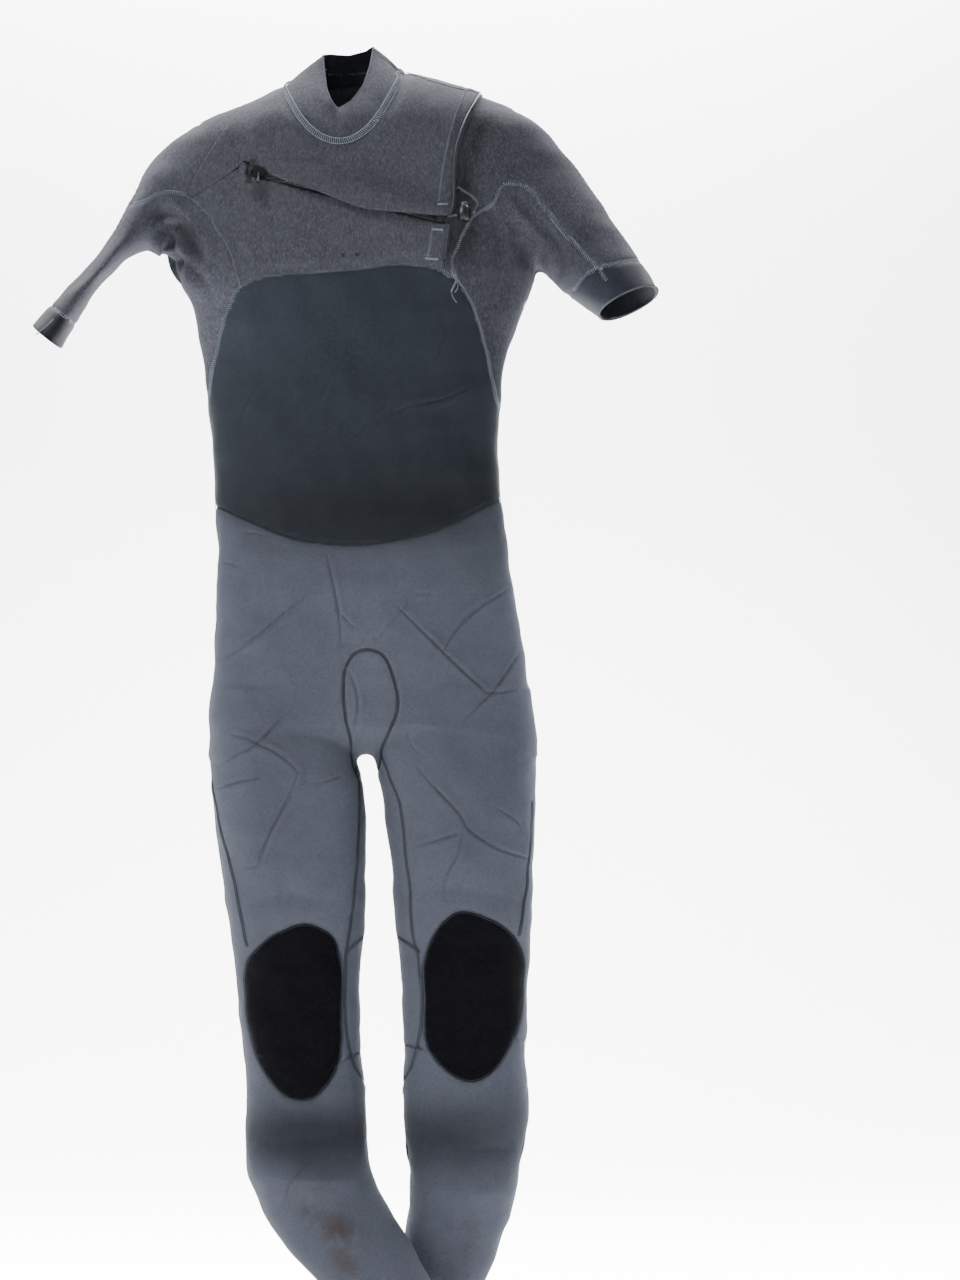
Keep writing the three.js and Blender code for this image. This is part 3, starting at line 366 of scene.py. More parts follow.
# ------------------------------------------------ creases: line, half width, height in mm (minus = a fold line that sinks)
CREASE = [
    ([(160, 236), (176, 226), (192, 238), (206, 264)], 5, -4.5), ([(150, 216), (170, 212), (190, 224)], 5, -3.5), ([(168, 262), (186, 262), (206, 284)], 5, -3.5),
    ([(158, 205), (172, 240), (176, 285)], 7, -5), ([(168, 230), (185, 250), (190, 285)], 5, 4), ([(150, 240), (166, 250), (182, 246)], 6, 5),
    ([(520, 235), (535, 262), (540, 290)], 6, -4.5), ([(500, 215), (522, 238), (528, 290)], 6, -4), ([(548, 228), (560, 250), (556, 280)], 5, -4),
    ([(492, 213), (500, 235), (498, 262)], 5, -3), ([(512, 225), (530, 250), (534, 285)], 5, 3.5), ([(508, 196), (520, 215), (545, 240)], 5, 2.5),
    ([(220, 660), (250, 642), (280, 617), (312, 589)], 4.5, 2.0), ([(217, 766), (237, 754), (257, 744), (282, 719), (290, 711)], 4.5, 2.0),
    ([(232, 734), (247, 738), (255, 742), (275, 752), (290, 763), (299, 772)], 4.5, 2.4), ([(217, 788), (237, 782), (260, 777)], 4, 2.2),
    ([(299, 773), (289, 798), (275, 823), (262, 853), (258, 865), (245, 867)], 4.5, 2.2), ([(318, 783), (330, 779.5), (340, 776)], 4, 1.6),
    ([(419, 768), (434, 786), (459, 813), (471, 831), (498, 848), (518, 855), (529, 858)], 4.5, 2.4), ([(417, 845), (434, 841), (464, 831)], 4.5, 2.4),
    ([(464, 831), (459, 853), (446, 878), (444, 899)], 4, 1.8), ([(498, 808), (518, 823), (526, 843)], 4.5, 2.2), ([(399, 607), (419, 627), (449, 657), (478, 684), (491, 693), (523, 689)], 4.5, 2.4),
    ([(441, 661), (454, 634), (478, 609), (508, 589)], 4.5, 2.0), ([(459, 729), (478, 706), (498, 686), (521, 649)], 4.5, 2.2), ([(377, 639), (395, 618), (414, 597)], 4, 1.6),
    ([(337, 609), (345, 618), (354, 627)], 4, 1.4), ([(416, 593), (423, 593.5), (430, 592)], 4, 1.6), ([(350, 672), (358, 699), (355, 729)], 4, -2.0),
    ([(222, 562), (230, 563.5), (237, 566)], 4, 1.2), ([(247, 532), (258, 533), (270, 536)], 4, 1.2),
    ([(280, 1206), (292, 1184), (309, 1161)], 4.5, 1.6), ([(405, 725), (412, 745), (424, 756)], 4, 1.2), ([(350, 355), (330, 380), (322, 400)], 4, 0.7),
    ([(262, 385), (250, 400), (240, 425)], 4, 0.7), ([(448, 330), (440, 352), (432, 372)], 4, 0.7),
    ([(393, 412), (412, 405), (440, 400), (466, 389)], 4, 1.7), ([(350, 442), (366, 428), (388, 408)], 4, 0.9),
    ([(327, 555), (337, 600), (342, 644)], 4, -2.0), ([(262, 158), (290, 162), (330, 160), (347, 155)], 2.2, -1.5), ([(252, 154), (262, 152), (276, 153)], 2.0, -1.6),
    ([(246, 1138), (300, 1148), (366, 1138)], 14, -4.5), ([(404, 1148), (465, 1156), (526, 1146)], 14, -4.5), ([(250, 1176), (310, 1182), (372, 1180)], 12, 3.5),
    ([(410, 1186), (465, 1192), (516, 1186)], 12, 3.0), ([(248, 905), (290, 896), (350, 905)], 10, -2.0), ([(400, 895), (460, 890), (526, 902)], 10, -2.0),
]
CREASE = [(spline(a, per=5), w, h) for a, w, h in CREASE]
_t = np.random.default_rng(7)
WAVES = [(_t.normal(0, 1, 3) / L, _t.uniform(0, 6.28), A) for L, A, m in ((75, 0.9, 5), (38, 0.45, 6), (18, 0.16, 8)) for _ in range(m)]


def relief(P, side):
    """height of the hanging suit's folds over the plain tube, mm"""
    px, py = lay(P)
    h = np.zeros(len(P))
    for k, ph, A in WAVES:
        h += A * np.sin(P @ (k * 2.2) + ph) * 0.7
    dz = np.hypot(np.maximum(np.abs(px - 345) - 112, 0), np.maximum(np.abs(py - 172 - (px - 252) * 0.2527) - 8, 0))
    f = side < 0
    h *= np.where(f, 1 - np.exp(-(dz / 26) ** 2), 1)
    for line, w, amp in CREASE:
        lo, hi = line.min(0) - 4 * w, line.max(0) + 4 * w
        m = f & (px > lo[0]) & (px < hi[0]) & (py > lo[1]) & (py < hi[1])
        if not m.any():
            continue
        d, s, _ = near(px[m], py[m], line)
        L = np.hypot(*np.diff(line, axis=0).T).sum()
        t = np.clip(s / L, 0, 1)
        fade = np.sin(np.pi * np.clip(t * 0.94 + 0.03, 0, 1)) ** 0.6
        if w < 4.6:
            a_ = 0.62 * np.abs(amp)
            h[m] += fade * a_ * (-1.3 * np.exp(-((d / 1.35) ** 2)) + 0.55 * np.exp(-(((d - 4.2) / 2.9) ** 2)) + 0.4 * np.exp(-(((d + 4.2) / 2.9) ** 2)) + np.sign(amp) * 0.5 * np.exp(-((d / 10.0) ** 2)))
        else:
            h[m] += 1.5 * amp * fade * (np.exp(-np.abs(d / w) ** 1.6) - 0.22 * np.exp(-((np.abs(d) - 2.2 * w) / (1.1 * w)) ** 2))
    return h


def by_crease(P, reach):
    px, py = lay(P)
    f = P[:, 1] - axis_y(P) < 6
    got = np.zeros(len(P), bool)
    for line, w, amp in CREASE:
        if w >= 4.6:
            continue
        lo, hi = line.min(0) - reach, line.max(0) + reach
        m = f & (px > lo[0]) & (px < hi[0]) & (py > lo[1]) & (py < hi[1])
        if m.any():
            got[m] |= np.abs(near(px[m], py[m], line)[0]) < reach
    return got


def refine(V, T, mark):
    """halves every edge whose two ends are marked, and keeps the mesh joined"""
    E = np.sort(np.concatenate([T[:, [0, 1]], T[:, [1, 2]], T[:, [2, 0]]]), 1)
    U_, inv = np.unique(E, axis=0, return_inverse=True)
    cut = mark[U_[:, 0]] & mark[U_[:, 1]]
    mid = np.where(cut, len(V) + np.cumsum(cut) - 1, -1)
    V = np.concatenate([V, V[U_[cut]].mean(1)])
    M_ = mid[inv.reshape(3, -1)].T
    cnt = (M_ >= 0).sum(1)
    out = [T[cnt == 0]]
    for k in range(3):
        roll = [(k + i) % 3 for i in range(3)]
        t, m = T[:, roll], M_[:, roll]
        one = (cnt == 1) & (m[:, 0] >= 0)
        a, b, c, x = t[one, 0], t[one, 1], t[one, 2], m[one, 0]
        out += [np.stack([a, x, c], 1), np.stack([x, b, c], 1)]
        two = (cnt == 2) & (m[:, 2] < 0)
        a, b, c, x, y = t[two, 0], t[two, 1], t[two, 2], m[two, 0], m[two, 1]
        out += [np.stack([x, b, y], 1), np.stack([a, x, y], 1), np.stack([a, y, c], 1)]
    f = cnt == 3
    a, b, c, x, y, z = T[f, 0], T[f, 1], T[f, 2], M_[f, 0], M_[f, 1], M_[f, 2]
    out += [np.stack([a, x, z], 1), np.stack([x, b, y], 1), np.stack([z, y, c], 1), np.stack([x, y, z], 1)]
    return V, np.concatenate(out)


V0, Q0 = skin(6.0)
T0 = tris(Q0, V0)
V0 = settle(V0, 3)
V0, T0 = subdivide(V0, T0)
V0, T0 = refine(V0, T0, by_crease(V0, 9.0))
V0 = settle(V0, 1)
V0, T0 = refine(V0, T0, by_crease(V0, 5.0))
V0 = settle(V0, 1)
print("skin", len(V0), len(T0))


def split(V, T, sides, phi, inr):
    """cuts the triangles that the line phi = 0 crosses; inr marks the vertices where the line counts"""
    p = phi[T]
    ok = inr[T].all(1)
    eps = 0.22
    q = np.where(np.abs(p) < eps, 0, p)
    sg = np.sign(q)
    cross = ok & (sg.min(1) < 0) & (sg.max(1) > 0)
    K = T[cross]
    S = sg[cross]
    rest = T[~cross]
    rest_side = np.where(ok[~cross], np.sign(sg[~cross].sum(1)), 0)
    rs = sides[~cross]
    cs = sides[cross]
    if len(K):
        E, cases = [], []
        zero = (S == 0).any(1)
        # one vertex on the line: two triangles
        new_T, new_side, src = [], [], []
        kz, sz, iz = K[zero], S[zero], np.flatnonzero(zero)
        r = np.argmax(sz == 0, 1)
        a = np.take_along_axis(kz, r[:, None], 1)[:, 0]
        b = np.take_along_axis(kz, ((r + 1) % 3)[:, None], 1)[:, 0]
        c = np.take_along_axis(kz, ((r + 2) % 3)[:, None], 1)[:, 0]
        kn, sn, in_ = K[~zero], S[~zero], np.flatnonzero(~zero)
        odd = np.where((sn > 0).sum(1) == 1, 1, -1)
        ro = np.argmax(sn == odd[:, None], 1)
        d = np.take_along_axis(kn, ro[:, None], 1)[:, 0]
        e = np.take_along_axis(kn, ((ro + 1) % 3)[:, None], 1)[:, 0]
        g = np.take_along_axis(kn, ((ro + 2) % 3)[:, None], 1)[:, 0]
        edges = np.concatenate([np.stack([b, c], 1), np.stack([d, e], 1), np.stack([d, g], 1)])
        es = np.sort(edges, 1)
        key, inv = np.unique(es[:, 0].astype(np.int64) * len(V) + es[:, 1], return_inverse=True)
        inv = inv.reshape(-1)
        i0, i1 = key // len(V), key % len(V)
        t = np.clip(phi[i0] / (phi[i0] - phi[i1]), 0.02, 0.98)
        base = len(V)
        V = np.concatenate([V, V[i0] + (V[i1] - V[i0]) * t[:, None]])
        m1 = inv[:len(b)] + base
        m2 = inv[len(b):len(b) + len(d)] + base
        m3 = inv[len(b) + len(d):] + base
        sb = np.sign(phi[b])
        parts = [np.stack([a, b, m1], 1), np.stack([a, m1, c], 1), np.stack([d, m2, m3], 1), np.stack([m2, e, g], 1), np.stack([m2, g, m3], 1)]
        sd = [sb, -sb, odd, -odd, -odd]
        ss = [iz, iz, in_, in_, in_]
        T = np.concatenate([rest] + parts)
        side = np.concatenate([rest_side] + sd)
        old = np.concatenate([rs] + [cs[i] for i in ss])
    else:
        T, side, old = rest, rest_side, rs
    return V, T, np.concatenate([old, side[:, None].astype(np.int8)], 1)


def components(T, sides, nV):
    """labels triangles that are joined without crossing a seam"""
    E = np.sort(np.concatenate([T[:, [0, 1]], T[:, [1, 2]], T[:, [2, 0]]]), 1)
    f = np.tile(np.arange(len(T)), 3)
    key = E[:, 0].astype(np.int64) * nV + E[:, 1]
    o = np.argsort(key, kind="stable")
    key, f = key[o], f[o]
    m = key[1:] == key[:-1]
    a, b = f[:-1][m], f[1:][m]
    bar = (sides[a].astype(int) * sides[b].astype(int) < 0).any(1)
    a, b = a[~bar], b[~bar]
    lab = np.arange(len(T))
    while True:
        m = np.minimum(lab[a], lab[b])
        new = lab.copy()
        np.minimum.at(new, a, m)
        np.minimum.at(new, b, m)
        np.minimum.at(new, lab[a], m)
        np.minimum.at(new, lab[b], m)
        new = new[new]
        new = new[new]
        if (new == lab).all():
            return lab
        lab = new


# collar seam and rim, by angle
def neckline(cx, a, front, back, left, right, dy, yc, dip, t):
    c, s = np.cos(t), np.sin(t)
    side = left * (1 - c) / 2 + right * (1 + c) / 2
    f = np.where(s < 0, np.abs(s) ** dip * (front - (left + right) / 2), np.abs(s) ** 1.5 * (back - (left + right) / 2))
    return cx + a * c, side + f, yc + dy * s * np.where(s < 0, 1, 0.8)


SEAM_N = (345, 57, 143, 66, 90, 71, 54, 0, 1.25)
RIM_N = (349, 25, 106, 56, 57, 47, 44, -2, 1.2)
tt = np.linspace(-np.pi, np.pi, 721)
SN = settle(at(*neckline(*SEAM_N, tt)), 6)
TS = np.arctan2(SN[:, 1] / 50.0, (SN[:, 0] - at(345, 90)[0]) / 65.5)


def neck_phi(P):
    cx = at(345, 90)[0]
    t = np.arctan2(P[:, 1] / 50.0, (P[:, 0] - cx) / 65.5)
    zs, xs, ys = (np.interp(t, TS, SN[:, i], period=2 * np.pi) for i in (2, 0, 1))
    r, rs = np.hypot(P[:, 0] - cx, P[:, 1]), np.hypot(xs - cx, ys)
    return 0.75 * (P[:, 2] - zs) + 0.65 * (rs - r)


V, T = V0, T0
sides = np.zeros((len(T), 0), np.int8)
F = V[:, 1] - axis_y(V)
# mouths: cut and drop
endR = at(np.array([33, 62]), np.array([325, 348]))[:, [0, 2]]
endL = at(np.array([658, 600]), np.array([288, 318]))[:, [0, 2]]


def beyond(P, e, inward):
    d = e[1] - e[0]
    n = np.array([-d[1], d[0]]) / np.hypot(*d)
    if (inward - e[0]) @ n > 0:
        n = -n
    return (P[:, [0, 2]] - e[0]) @ n


for phi_f in (
    lambda P: np.where(P[:, 0] < -250, beyond(P, endR, np.array([-300, -200.0])), -50),
    lambda P: np.where((P[:, 0] > 225) & (P[:, 2] > -300), beyond(P, endL, np.array([250, -150.0])), -50),
    lambda P: np.where((P[:, 2] < -1200) & (P[:, 1] < -28), at(0, 1356, -91)[2] - P[:, 2], -50),
    lambda P: np.where((P[:, 2] < -1200) & (P[:, 1] >= -28), at(0, 1356, 25)[2] - P[:, 2], -50),
    lambda P: np.where((np.abs(P[:, 0] + 15) < 100) & (P[:, 2] > -90), neck_phi(P), -50),
):
    phi = phi_f(V)
    V, T, sides = split(V, T, sides, phi, np.ones(len(V), bool))
    keep = sides[:, -1] <= 0
    T, sides = T[keep], sides[keep][:, :-1]
F = V[:, 1] - axis_y(V)
seam_names = list(LINES)
for name in seam_names:
    line, where, closed = LINES[name]
    px, py = lay(V)
    lo, hi = line.min(0) - 22, line.max(0) + 22
    m = (px > lo[0]) & (px < hi[0]) & (py > lo[1]) & (py < hi[1])
    phi, inr = np.full(len(V), 99.0), np.zeros(len(V), bool)
    d, s, end = near(px[m], py[m], line, closed)
    phi[m] = d
    inr[m] = (np.abs(d) < 12) & ~end
    if where:
        inr &= F * where > -9.0
    V, T, sides = split(V, T, sides, phi, inr)
    F = V[:, 1] - axis_y(V)
# front from back
skip = np.zeros(len(V), bool)
V, T, sides = split(V, T, sides, F, np.ones(len(V), bool))
V = V.copy()
F = V[:, 1] - axis_y(V)
cen = V[T].mean(1)
Fc = cen[:, 1] - axis_y(cen)
cpx, cpy = lay(cen)
# the rings and strips that wrap round take no side seam
wrap = np.zeros(len(T), bool)
ix = {n: i for i, n in enumerate(seam_names)}
first = components(T, sides[:, [ix[k] for k in ("cuffR", "cuffL", "gusset", "innerL", "innerR")]], len(V))
PROBE = {
    "right_sleeve_cuff": (52, 328, -1), "left_sleeve_cuff": (625, 285, -1), "crotch_gusset": (370, 690, -1), "left_inner_leg_panel": (402, 900, -1), "right_inner_leg_panel": (361, 900, -1),
    "right_shoulder_panel": (180, 160, -1), "right_underarm_panel": (195, 250, -1), "inner_barrier": (330, 220, -1), "left_shoulder_panel": (500, 140, -1), "left_underarm_panel": (495, 300, -1),
    "front_torso_panel": (350, 400, -1), "front_thigh_panel": (300, 640, -1), "right_knee_panel": (300, 1000, -1), "left_knee_panel": (475, 1000, -1), "right_shin_panel": (300, 1140, -1),
    "left_shin_panel": (465, 1140, -1), "right_sleeve_back": (150, 200, 1), "left_sleeve_back": (560, 200, 1), "back_yoke_panel": (300, 200, 1), "back_torso_panel": (350, 400, 1),
    "right_back_thigh_panel": (280, 700, 1), "left_back_thigh_panel": (460, 700, 1), "right_behind_knee_panel": (300, 1030, 1), "left_behind_knee_panel": (465, 1030, 1),
    "right_calf_panel": (300, 1140, 1), "left_calf_panel": (465, 1140, 1)}


def tri_at(px, py, side, allow):
    m = np.flatnonzero((Fc * side > 1) & allow)
    return m[np.argmin(np.hypot(cpx[m] - px, cpy[m] - py))]


label = np.full(len(T), "", dtype="U28")
free = np.ones(len(T), bool)
for n in list(PROBE)[:5]:
    t = tri_at(*PROBE[n], free)
    m = first == first[t]
    if m.sum() < 0.4 * len(T):
        label[m] = n
        free &= ~m
    else:
        print("WARN not separated", n)
zr, zl = at(0, 1312, -80)[2], at(0, 1312, 24)[2]
ankR, ankL = (cen[:, 2] < zr) & (cen[:, 1] < -28), (cen[:, 2] < zl) & (cen[:, 1] >= -28)
second = components(T, sides, len(V))
for n in list(PROBE)[5:]:
    t = tri_at(*PROBE[n], np.ones(len(T), bool))
    if label[t] != "":
        print("WARN shared", n, label[t])
        continue
    m = (second == second[t]) & free
    label[m] = n
    free &= ~m
    if m.sum() < 60:
        print("WARN small", n, m.sum())
# slivers join the nearest named panel
left = np.flatnonzero(label == "")
print("slivers", len(left))
if len(left):
    named = np.flatnonzero(label != "")
    near_v = {}
    for _ in range(12):
        vl = np.full(len(V), "", dtype="U28")
        for k in range(3):
            vl[T[named, k]] = label[named]
        left = np.flatnonzero(label == "")
        if not len(left):
            break
        for k in range(3):
            c = vl[T[left, k]]
            g = (label[left] == "") & (c != "")
            label[left[g]] = c[g]
        named = np.flatnonzero(label != "")
    print("slivers left", (label == "").sum())
label[ankR] = "right_ankle_cuff"
label[ankL] = "left_ankle_cuff"

# ---------------------------------------------------------------- heights over the tube
N0, _ = grad(V)
px, py = lay(V)
H = relief(V, F)


# seams sink a little and pucker
def groove(px, py, F, H):
    for n, (line, where, closed) in LINES.items():
        if n in ("ridgeR", "barrier", "seat"):
            continue
        lo, hi = line.min(0) - 9, line.max(0) + 9
        m = (px > lo[0]) & (px < hi[0]) & (py > lo[1]) & (py < hi[1])
        if where:
            m &= F * where > -4
        d, s, end = near(px[m], py[m], line, closed)
        g = np.where(end, 0, 1.0)
        H[m] += g * (-1.0 * np.exp(-(d / 1.6) ** 2) + 0.25 * np.exp(-((np.abs(d) - 5.5) / 2.5) ** 2) * (1 + 0.5 * np.sin(s * 0.55)))
    return H


H = groove(px, py, F, H)
V_out = V + N0 * H[:, None]

# ---------------------------------------------------------------- blender helpers
COL = bpy.context.scene.collection


def new_mesh(name, verts, faces, mat, smooth=True):
    me = bpy.data.meshes.new(name)
    me.from_pydata((np.asarray(verts) / 1000.0).tolist(), [], [list(map(int, f)) for f in faces])
    me.update()
    if smooth:
        me.polygons.foreach_set("use_smooth", np.ones(len(me.polygons), bool))
    me.materials.append(mat)
    o = bpy.data.objects.new(name, me)
    COL.objects.link(o)
    return o


def tri_mesh(name, verts, T, mat):
    me = bpy.data.meshes.new(name)
    me.vertices.add(len(verts))
    me.vertices.foreach_set("co", (np.asarray(verts) / 1000.0).astype(np.float32).ravel())
    me.loops.add(len(T) * 3)
    me.loops.foreach_set("vertex_index", T.astype(np.int32).ravel())
    me.polygons.add(len(T))
    me.polygons.foreach_set("loop_start", np.arange(0, len(T) * 3, 3, dtype=np.int32))
    me.polygons.foreach_set("use_smooth", np.ones(len(T), bool))
    me.update(calc_edges=True)
    me.validate()
    me.materials.append(mat)
    o = bpy.data.objects.new(name, me)
    COL.objects.link(o)
    return o


def with_rim(Vv, T, Nn, depth=SKIN, lip=0.5):
    """adds a rounded edge that turns in by the skin's thickness along every open border"""
    E = np.concatenate([T[:, [0, 1]], T[:, [1, 2]], T[:, [2, 0]]])
    key = np.sort(E, 1)
    k, inv, c = np.unique(key[:, 0].astype(np.int64) * len(Vv) + key[:, 1], return_inverse=True, return_counts=True)
    B = E[c[inv.reshape(-1)] == 1]
    if not len(B):
        return Vv, T
    ids = np.unique(B)
    mp = -np.ones(len(Vv), int)
    mp[ids] = np.arange(len(ids))
    # outward direction in the surface at the border
    tan = np.zeros((len(ids), 3))
    d = Vv[B[:, 1]] - Vv[B[:, 0]]
    d /= np.maximum(np.linalg.norm(d, axis=1, keepdims=True), 1e-9)
    for j in (0, 1):
        np.add.at(tan, mp[B[:, j]], d)
    tan /= np.maximum(np.linalg.norm(tan, axis=1, keepdims=True), 1e-9)
    n = Nn[ids]
    side = np.cross(tan, n)
    p0 = Vv[ids]
    r1 = p0 - n * 0.45 + side * 0.12
    r2 = p0 - n * depth + side * 0.12
    nv = len(Vv)
    V2 = np.concatenate([Vv, r1, r2])
    a, b = B[:, 0], B[:, 1]
    a1, b1 = mp[a] + nv, mp[b] + nv
    a2, b2 = a1 + len(ids), b1 + len(ids)
    X = np.concatenate([T] + [np.stack(t, 1) for t in ([b, a, a1], [b, a1, b1], [b1, a1, a2], [b1, a2, b2])])
    return V2, X


def compact(Vv, T, *att):
    ids = np.unique(T)
    mp = -np.ones(len(Vv), int)
    mp[ids] = np.arange(len(ids))
    return (Vv[ids], mp[T]) + tuple(a[ids] for a in att)




# ---------------------------------------------------------------- materials
def lin(c, k=1.0):
    v = [(x / 255 / 12.92) if x / 255 <= 0.04045 else ((x / 255 + 0.055) / 1.055) ** 2.4 for x in c]
    return tuple(min(1.0, x * k) for x in v) + (1.0,)


def material(name, rgb, rough=0.8, metal=0.0, sheen=0.0, fleck=0.0, fleck_scale=700.0, blot=0.0, bump=0.0, bump_scale=900.0, stretch=(1, 1, 1), spec=0.4, coat=0.0, stain=False, weave=False, painted_shading=False):
    m = bpy.data.materials.new(name)
    m.use_nodes = True
    nt = m.node_tree
    b = nt.nodes["Principled BSDF"]
    N, L = nt.nodes.new, nt.links.new
    b.inputs["Roughness"].default_value = rough
    b.inputs["Metallic"].default_value = metal
    b.inputs["Sheen Weight"].default_value = sheen
    b.inputs["Sheen Roughness"].default_value = 0.45
    b.inputs["Specular IOR Level"].default_value = spec
    b.inputs["Coat Weight"].default_value = coat
    b.inputs["Base Color"].default_value = rgb
    if not (fleck or blot or bump or stain or painted_shading):
        return m
    tc, mp = N("ShaderNodeTexCoord"), N("ShaderNodeMapping")
    mp.inputs["Scale"].default_value = stretch
    L(tc.outputs["Object"], mp.inputs["Vector"])
    col = None

    def mix(a, bcol, fac):
        x = N("ShaderNodeMix")
        x.data_type = "RGBA"
        if isinstance(a, tuple):
            x.inputs["A"].default_value = a
        else:
            L(a, x.inputs["A"])
        x.inputs["B"].default_value = bcol
        L(fac, x.inputs["Factor"])
        return x.outputs["Result"]

    def noise(scale, detail, lo, hi, top, vec):
        t, r = N("ShaderNodeTexNoise"), N("ShaderNodeMapRange")
        t.inputs["Scale"].default_value = scale
        t.inputs["Detail"].default_value = detail
        L(vec, t.inputs["Vector"])
        r.inputs["From Min"].default_value, r.inputs["From Max"].default_value = lo, hi
        r.inputs["To Max"].default_value = top
        L(t.outputs["Fac"], r.inputs["Value"])
        return r.outputs["Result"], t

    col = rgb
    if blot:
        f, _ = noise(9.0, 3.0, 0.35, 0.7, 1.0, tc.outputs["Object"])
        col = mix(col, tuple(min(1, c * (1 + blot)) for c in rgb[:3]) + (1,), f)
        f, _ = noise(42.0, 4.0, 0.45, 0.75, 1.0, tc.outputs["Object"])
        col = mix(col, tuple(c * (1 - 0.6 * blot) for c in rgb[:3]) + (1,), f)
    if fleck:
        f, _ = noise(fleck_scale, 2.0, 0.42, 0.72, 1.0, mp.outputs["Vector"])
        col = mix(col, tuple(min(1, c * (1 + 2.2 * fleck) + 0.012 * fleck) for c in rgb[:3]) + (1,), f)
        f, _ = noise(fleck_scale * 0.37, 2.0, 0.5, 0.8, 0.8, mp.outputs["Vector"])
        col = mix(col, tuple(c * (1 - 0.75 * fleck) for c in rgb[:3]) + (1,), f)
    # multiplies the colour by the painted light and shade stored on the vertices
    if painted_shading:
        a = N("ShaderNodeAttribute")
        a.attribute_name = "painted_shading"
        x = N("ShaderNodeMix")
        x.data_type = "RGBA"
        x.blend_type = "MULTIPLY"
        x.inputs["Factor"].default_value = 1.0
        if isinstance(col, tuple):
            x.inputs["A"].default_value = col
        else:
            L(col, x.inputs["A"])
        L(a.outputs["Color"], x.inputs["B"])
        col = x.outputs["Result"]
    if stain:
        a = N("ShaderNodeAttribute")
        a.attribute_name = "stain"
        f, _ = noise(60.0, 5.0, 0.3, 0.62, 1.0, tc.outputs["Object"])
        mu = N("ShaderNodeMath")
        mu.operation = "MULTIPLY"
        L(a.outputs["Fac"], mu.inputs[0])
        L(f, mu.inputs[1])
        col = mix(col, (0.04, 0.031, 0.029, 1), mu.outputs[0])
    if not isinstance(col, tuple):
        L(col, b.inputs["Base Color"])
    if bump:
        bp = N("ShaderNodeBump")
        bp.inputs["Distance"].default_value = 0.0004
        bp.inputs["Strength"].default_value = bump
        if weave:
            v = N("ShaderNodeTexVoronoi")
            v.inputs["Scale"].default_value = bump_scale
            L(mp.outputs["Vector"], v.inputs["Vector"])
            L(v.outputs["Distance"], bp.inputs["Height"])
        else:
            f, t = noise(bump_scale, 3.0, 0, 1, 1, mp.outputs["Vector"])
            L(f, bp.inputs["Height"])
        L(bp.outputs["Normal"], b.inputs["Normal"])
    return m


ST = (1.0, 1.0, 0.45)
M = {
    # the heather jersey, torso and leg cloths take the painted light and shade from the vertices
    "jersey": material("heather_jersey", lin((51, 52, 58)), 0.95, painted_shading=True, fleck=0.26, fleck_scale=620, blot=0.14, bump=0.5, bump_scale=1100, stretch=ST, spec=0.08),
    "chest": material("chest_jersey", lin((53, 54, 60)), 0.95, fleck=0.26, fleck_scale=620, blot=0.12, bump=0.5, bump_scale=1100, stretch=ST, spec=0.08),
    "torso": material("torso_skin", lin((26, 31, 38)), 0.66, painted_shading=True, fleck=0.12, fleck_scale=900, blot=0.12, bump=0.35, bump_scale=1300, spec=0.16, weave=True),
    "leg": material("leg_jersey", lin((64, 67, 76)), 0.92, painted_shading=True, fleck=0.12, fleck_scale=900, blot=0.1, bump=0.3, bump_scale=1200, spec=0.1, stain=True, weave=True),
    "knee": material("knee_pad_cloth", (0.0013, 0.0014, 0.0024, 1), 0.8, fleck=0.3, fleck_scale=1000, blot=0.15, bump=0.6, bump_scale=900, spec=0.04, weave=True),
    "cuff": material("smooth_cuff", lin((31, 34, 41)), 0.72, fleck=0.14, fleck_scale=500, blot=0.16, bump=0.35, bump_scale=700, spec=0.12),
    # painted shade: a darker copy of the cuff cloth, used on the right sleeve cuff alone so that its lit front reads
    # dark
    "cuff_shaded": material("smooth_cuff_shaded", lin((14, 16, 21)), 0.72, fleck=0.14, fleck_scale=500, blot=0.16, bump=0.35, bump_scale=700, spec=0.12),
    "barrier": material("thin_barrier", lin((24, 26, 31)), 0.8, fleck=0.1, blot=0.1, bump=0.3, spec=0.25),
    "binding": material("rubber_binding", lin((36, 39, 45)), 0.5, blot=0.1, bump=0.15, bump_scale=300, spec=0.2),
    "tape": material("zip_tape_weave", lin((20, 21, 24)), 0.85, sheen=0.1, fleck=0.3, fleck_scale=1500, bump=0.7, bump_scale=1600, weave=True),
    "tooth": material("tooth_resin", lin((22, 23, 26)), 0.4, blot=0.1, bump=0.05),
    "slider": material("coated_slider", lin((34, 35, 38)), 0.32, metal=0.75, blot=0.25, bump=0.1, bump_scale=400),
    "pull": material("worn_metal", lin((70, 71, 75)), 0.36, metal=0.9, blot=0.3, bump=0.15, bump_scale=300),
    "lock": material("lock_plastic", lin((13, 14, 17)), 0.38, blot=0.1, bump=0.05, spec=0.3),
    "button": material("button_plastic", lin((52, 55, 60)), 0.3, blot=0.1, bump=0.05),
    "spring": material("spring_wire", lin((150, 152, 156)), 0.3, metal=1.0),
    "cord": material("braided_cord", lin((30, 32, 37)), 0.75, sheen=0.1, fleck=0.5, fleck_scale=1400, bump=1.0, bump_scale=1500, weave=True),
    "lining": material("inner_lining", lin((26, 28, 33)), 0.9, fleck=0.15, blot=0.12, bump=0.4, spec=0.2),
    "thread": material("pale_thread", lin((94, 100, 109)), 0.85, fleck=0.35, fleck_scale=1200, spec=0.25),
    "thread_dark": material("dark_thread", lin((30, 34, 40)), 0.8, fleck=0.4, fleck_scale=1200, spec=0.25),
    "thread_black": material("black_thread", lin((16, 18, 22)), 0.8, fleck=0.4, fleck_scale=1200, spec=0.25),
}


def put(obj, slot, node=(), body_name="suit"):
    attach(obj, body_name)
    if node:
        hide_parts(*([node] if isinstance(node, str) else node))
    return obj


